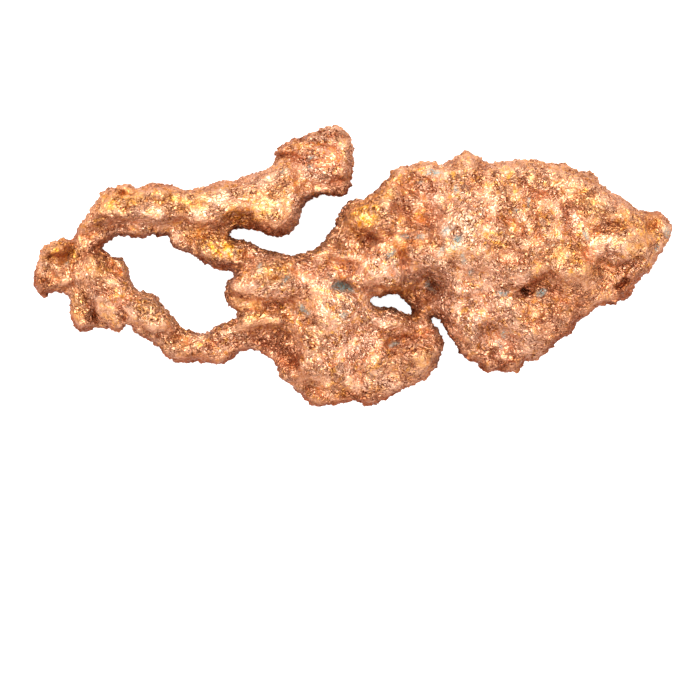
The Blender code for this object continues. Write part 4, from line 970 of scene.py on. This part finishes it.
def crease_shade_share(plan):
    """Painted shade: 1 along the middle of each deep crease and in each deep pit, and 0 away from them."""
    share = np.zeros(len(plan))
    for near, local, height in creases_and_bumps(plan, CREASE_SHADE_REACH):
        if height < 0.0:
            share[near] = np.maximum(share[near], local * min(1.0, 0.3 - height))
    return share


def add_film_and_shade_masks(mesh):
    """Stores the painted shade in creases, the golden metal, the pinker metal with painted light, the heavier
    film with painted shade, and the residue.
    """
    plan = wandering(points_of(mesh)[:, :2])
    up = facing_up(mesh, 0.6)
    put_attribute(mesh, "creased", up * crease_shade_share(plan))
    put_attribute(mesh, "golden", up * patches(plan, GOLDEN_PATCHES))
    put_attribute(mesh, "pink_and_lit", up * patches(plan, PINK_AND_LIT_PATCHES))
    put_attribute(mesh, "tarnish_and_shade", patches(plan, TARNISH_AND_SHADE_PATCHES))
    put_attribute(mesh, "residue", up * patches(plan, RESIDUE_SPOTS))


def keep_in_box(mesh, low, high):
    """Presses what stands past the solid's box back to its sides."""
    put_points(mesh, np.clip(points_of(mesh), np.array(low) / MM, np.array(high) / MM))


# ---- Finish ----


def mixed(tree, share, first, second):
    """A colour between two others."""
    return node(tree, "ShaderNodeMix", {0: share, 6: first, 7: second}, data_type="RGBA").outputs[2]


def ramped(tree, value, low, high, start=0.0, end=1.0):
    """A value taken from low..high to start..end, held at both ends."""
    return node(tree, "ShaderNodeMapRange", {
        0: value, "From Min": low, "From Max": high, "To Min": start, "To Max": end,
    }).outputs[0]


def attributes_and_noises(tree, place):
    """The masks that the mesh carries and the noises of the finish, by name."""
    read = {}
    for name in MASKS:
        read[name] = node(tree, "ShaderNodeAttribute", attribute_name=name).outputs["Fac"]
    for name, (scale, detail, roughness) in NOISES.items():
        read[name] = node(tree, "ShaderNodeTexNoise", {
            "Vector": place, "Scale": scale, "Detail": detail, "Roughness": roughness,
        }).outputs["Fac"]
    return read


def sheets(tree, level, foot_width):
    """The marks of overlapping sheets, one for each whole step of level: a painted shadow at the base of the
    step, a painted highlight along its upper edge, and the rise.
    """
    share = math_of(tree, "FRACT", level)
    foot = ramped(tree, share, 0.5 * foot_width, foot_width, 1.0, 0.0)
    lip_highlight = ramped(tree, share, LIP_START, LIP_END)
    return foot, lip_highlight, sheet_rise(tree, share)


def drawn_sheets(tree, place, along, finish):
    """The marks of sheets that are drawn out along the surface's direction, blended from fixed directions."""
    foot, lip_highlight, rise = 0.0, 0.0, 0.0
    for turn in range(0, 180, 180 // DIRECTIONS):
        angle = math.radians(turn)
        heading = (math.cos(angle), math.sin(angle), 0.0)
        likeness = math_of(tree, "ABSOLUTE", vector_of(tree, "DOT_PRODUCT", along, heading))
        share = ramped(tree, likeness, math.cos(math.pi / DIRECTIONS), 1.0)
        turned = node(tree, "ShaderNodeVectorRotate", {
            "Vector": place, "Angle": -angle,
        }, rotation_type="Z_AXIS").outputs[0]
        drawn = vector_of(tree, "MULTIPLY", turned, (1.0 / finish.streak_length, 1.0, 1.0))
        level = product(
            tree, sum_of(tree, noise_at(tree, drawn, finish.streak_size), turn), finish.streak_count)
        marks = sheets(tree, level, finish.streak_foot)
        foot = strongest(tree, foot, product(tree, marks[0], share))
        lip_highlight = strongest(tree, lip_highlight, product(tree, marks[1], share))
        rise = sum_of(tree, rise, product(tree, marks[2], share))
    return foot, lip_highlight, rise


def native_copper(finish):
    """Bare copper in torn sheets, pinkish orange and golden in places, with residue, painted shade and
    highlights.
    """
    material = bpy.data.materials.new("native_copper")
    material.use_nodes = True
    tree = material.node_tree
    shader = tree.nodes["Principled BSDF"]
    object_place = node(tree, "ShaderNodeTexCoord").outputs["Object"]
    place = node(tree, "ShaderNodeMapping", {"Vector": object_place, "Scale": (1.0 / MM,) * 3}).outputs[0]
    swept = swayed(tree, place, scale=1.1, reach=1.0)
    along = node(tree, "ShaderNodeAttribute", attribute_name="along").outputs["Vector"]
    read = attributes_and_noises(tree, place)
    share = {name: ramped(tree, read[source], *ends) for name, (source, *ends) in SHARES.items()}

    large = product(tree, noise_at(tree, swept, finish.sheet_size, detail=3.0), finish.sheet_count)
    small = product(tree, noise_at(tree, swept, finish.flake_size, detail=0.5), finish.flake_count)
    families = (
        (sheets(tree, large, finish.sheet_foot), 1.0, finish.sheet_height),
        (drawn_sheets(tree, swept, along, finish), share["drawn_sheets"], finish.streak_height),
        (sheets(tree, small, finish.flake_foot), share["small_flakes"], finish.flake_height),
    )
    # Painted shadow at the base of each sheet's step, and painted highlight along its upper edge.
    feet = strongest(tree, *(product(tree, marks[0], part) for marks, part, _ in families))
    feet = product(tree, feet, share["broken_feet"], share["faded_feet"], finish.foot_shadow_strength)
    lip_highlights = strongest(tree, *(product(tree, marks[1], part) for marks, part, _ in families))

    # The film mixes the mottle's darker film with painted shade in hollows, deep valleys, creases, on the
    # flanks and in the tarnish patches.
    film = strongest(
        tree, product(tree, read["hollow"], finish.hollow_shade),
        product(tree, read["deep"], finish.deep_shade), share["dark_mottle"],
        product(tree, read["creased"], finish.crease_shade))
    film = sum_of(
        tree, film, product(tree, read["flank"], finish.flank_shade),
        product(tree, read["tarnish_and_shade"], share["tarnish_and_shade"]))
    film = product(tree, film, share["film_and_shade_on_pink"])
    # Pale: worn crests, pale fields, the pink patches' pinker metal and painted light, and the painted
    # highlights along the sheets' upper edges.
    pale = sum_of(
        tree, product(tree, read["crest"], finish.crest_shade), share["pale_fields"],
        product(tree, read["pink_and_lit"], finish.pink_and_lit_strength), product(tree, lip_highlights, finish.lip_highlight_strength))
    gold = strongest(
        tree, product(tree, read["golden"], share["gold_edges"]),
        product(tree, share["stray_gold"], share["gold_fields"]))
    residue = product(tree, read["residue"], share["residue_edges"])

    colour = tuple(finish.copper)
    for cover, layer_colour in (
        (pale, finish.pale_copper), (gold, finish.golden), (film, finish.hollow), (feet, finish.line),
        (residue, finish.residue),
    ):
        colour = mixed(tree, cover, colour, tuple(layer_colour))
    roughness = ramped(tree, read["mottle"], GLOSS_START, GLOSS_END, finish.polished, finish.dull)
    roughness = sum_of(tree, roughness, product(tree, residue, finish.residue_roughness))
    metallic = difference(tree, 1.0, product(tree, residue, finish.residue_cover))

    folds = math_of(tree, "ABSOLUTE", noise_at(tree, swept, finish.fold_size))
    height = sum_of(
        tree, product(tree, folds, finish.fold_height),
        *(product(tree, marks[2], part, rise) for marks, part, rise in families),
        product(tree, noise_at(tree, swept, finish.grit_size), finish.grit_height),
        product(tree, chips(tree, swept, finish.plate_size), finish.plate_tilt))
    height = product(tree, height, share["relief"])
    bump = node(tree, "ShaderNodeBump", {"Height": height, "Strength": 1.0, "Distance": MM})

    for socket, value in (
        ("Base Color", colour), ("Roughness", roughness), ("Metallic", metallic),
        ("Normal", bump.outputs["Normal"]),
    ):
        tree.links.new(value, shader.inputs[socket])
    return material


def plain_floor(studio):
    """A matt floor that glows for the camera alone."""
    material = bpy.data.materials.new("pale_floor")
    material.use_nodes = True
    tree = material.node_tree
    shader = tree.nodes["Principled BSDF"]
    seen = node(tree, "ShaderNodeLightPath").outputs["Is Camera Ray"]
    tree.links.new(product(tree, seen, studio.floor_glow), shader.inputs["Emission Strength"])
    for socket, value in (
        ("Base Color", studio.floor_colour), ("Roughness", 0.9), ("Specular IOR Level", 0.1),
        ("Emission Color", (1.0, 1.0, 1.0, 1.0)),
    ):
        shader.inputs[socket].default_value = value
    return material


def lamp(name, place, size, power):
    """A soft square light that faces the nugget."""
    light = bpy.data.lights.new(name, "AREA")
    light.size = size
    light.energy = power
    lit = link(name, light)
    lit.location = place
    lit.rotation_euler = (-Vector(place)).to_track_quat("-Z", "Y").to_euler()


# ---- Operators ----


class NUGGET_OT_body(bpy.types.Operator):
    """Makes the finished nugget in place of its solid"""

    bl_idname = "nugget.body"
    bl_label = "Nugget"

    def execute(self, context):
        shape = context.scene.nugget_shape
        material = native_copper(context.scene.nugget_finish)
        low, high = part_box(NODE)

        lump = copy_of_node(NODE)
        add_skin(lump, shape.skin_grain, shape.facet_smoothing)
        lump = baked(lump, "nugget_relief")
        add_named_relief(lump.data)
        add_character(lump.data)
        add_nodes(lump, knob_tree(), {
            "Spacing": shape.knob_spacing, "Knob Size": shape.knob_size, "Seed": shape.seed,
            "Material": material,
        })
        add_skin(lump, shape.fine_grain, shape.fine_smoothing)
        lump = baked(lump, "nugget_knobs")

        add_character(lump.data)
        sizes = {title: getattr(shape, title.lower().replace(" ", "_")) for title in CRUMPLE_SIZES}
        add_nodes(lump, crumple_tree(), {**sizes, "Material": material})
        thin_out(lump, shape.triangles)
        lump = baked(lump, "nugget_thinned")
        keep_in_box(lump.data, low, high)

        add_nodes(lump, hollow_tree(), {"Material": material})
        nugget = baked(lump, "native_copper_nugget")
        add_character(nugget.data)
        add_film_and_shade_masks(nugget.data)
        nugget.data.materials.clear()
        nugget.data.materials.append(material)
        nugget.data.shade_smooth()
        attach(nugget, "root")
        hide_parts(NODE)
        print("nugget triangles", len(nugget.data.polygons))
        return {"FINISHED"}


class NUGGET_OT_studio(bpy.types.Operator):
    """Makes the floor, the lights and the camera"""

    bl_idname = "nugget.studio"
    bl_label = "Studio"

    def execute(self, context):
        scene = context.scene
        studio = scene.nugget_studio
        shape = bmesh.new()
        bmesh.ops.create_circle(shape, cap_ends=True, segments=96, radius=studio.floor_radius)
        bmesh.ops.translate(shape, verts=shape.verts, vec=(0.0, 0.0, -studio.floor_gap))
        floor = link("floor", mesh_of(shape, "floor"))
        floor.data.materials.append(plain_floor(studio))

        scene.world = bpy.data.worlds.new("soft_sky")
        scene.world.use_nodes = True
        background = scene.world.node_tree.nodes["Background"].inputs
        background["Color"].default_value = (1.0, 1.0, 1.0, 1.0)
        background["Strength"].default_value = studio.sky
        lamp("soft_box", *LAMPS["soft_box"], studio.key_power)
        lamp("spark_light", *LAMPS["spark_light"], studio.fill_power)

        lens = bpy.data.cameras.new("camera")
        lens.lens = studio.lens
        lens.sensor_width = 36.0
        lens.clip_start = 0.01
        scene.camera = link("camera", lens)
        scene.camera.location = (*CAMERA_PLACE, studio.camera_height)
        scene.view_settings.view_transform = "Standard"
        return {"FINISHED"}


class NUGGET_PT_sidebar(bpy.types.Panel):
    """Lists the nugget's pieces and their settings."""

    bl_label = "Native Copper Nugget"
    bl_space_type = "VIEW_3D"
    bl_region_type = "UI"
    bl_category = "Nugget"

    def draw(self, context):
        for title, operator, groups in (
            ("Nugget", "nugget.body", (context.scene.nugget_shape, context.scene.nugget_finish)),
            ("Studio", "nugget.studio", (context.scene.nugget_studio,)),
        ):
            box = self.layout.box()
            box.operator(operator, text=title)
            for group in groups:
                for name in group.bl_rna.properties.keys():
                    if name not in {"rna_type", "name"}:
                        box.prop(group, name)


CLASSES = (NuggetShape, NuggetFinish, NuggetStudio, NUGGET_OT_body, NUGGET_OT_studio, NUGGET_PT_sidebar)


def register():
    for each in CLASSES:
        bpy.utils.register_class(each)
    bpy.types.Scene.nugget_shape = PointerProperty(type=NuggetShape)
    bpy.types.Scene.nugget_finish = PointerProperty(type=NuggetFinish)
    bpy.types.Scene.nugget_studio = PointerProperty(type=NuggetStudio)


def unregister():
    del bpy.types.Scene.nugget_studio
    del bpy.types.Scene.nugget_finish
    del bpy.types.Scene.nugget_shape
    for each in reversed(CLASSES):
        bpy.utils.unregister_class(each)


def main():
    register()
    bpy.ops.nugget.body()
    bpy.ops.nugget.studio()


if __name__ == "__main__":
    main()
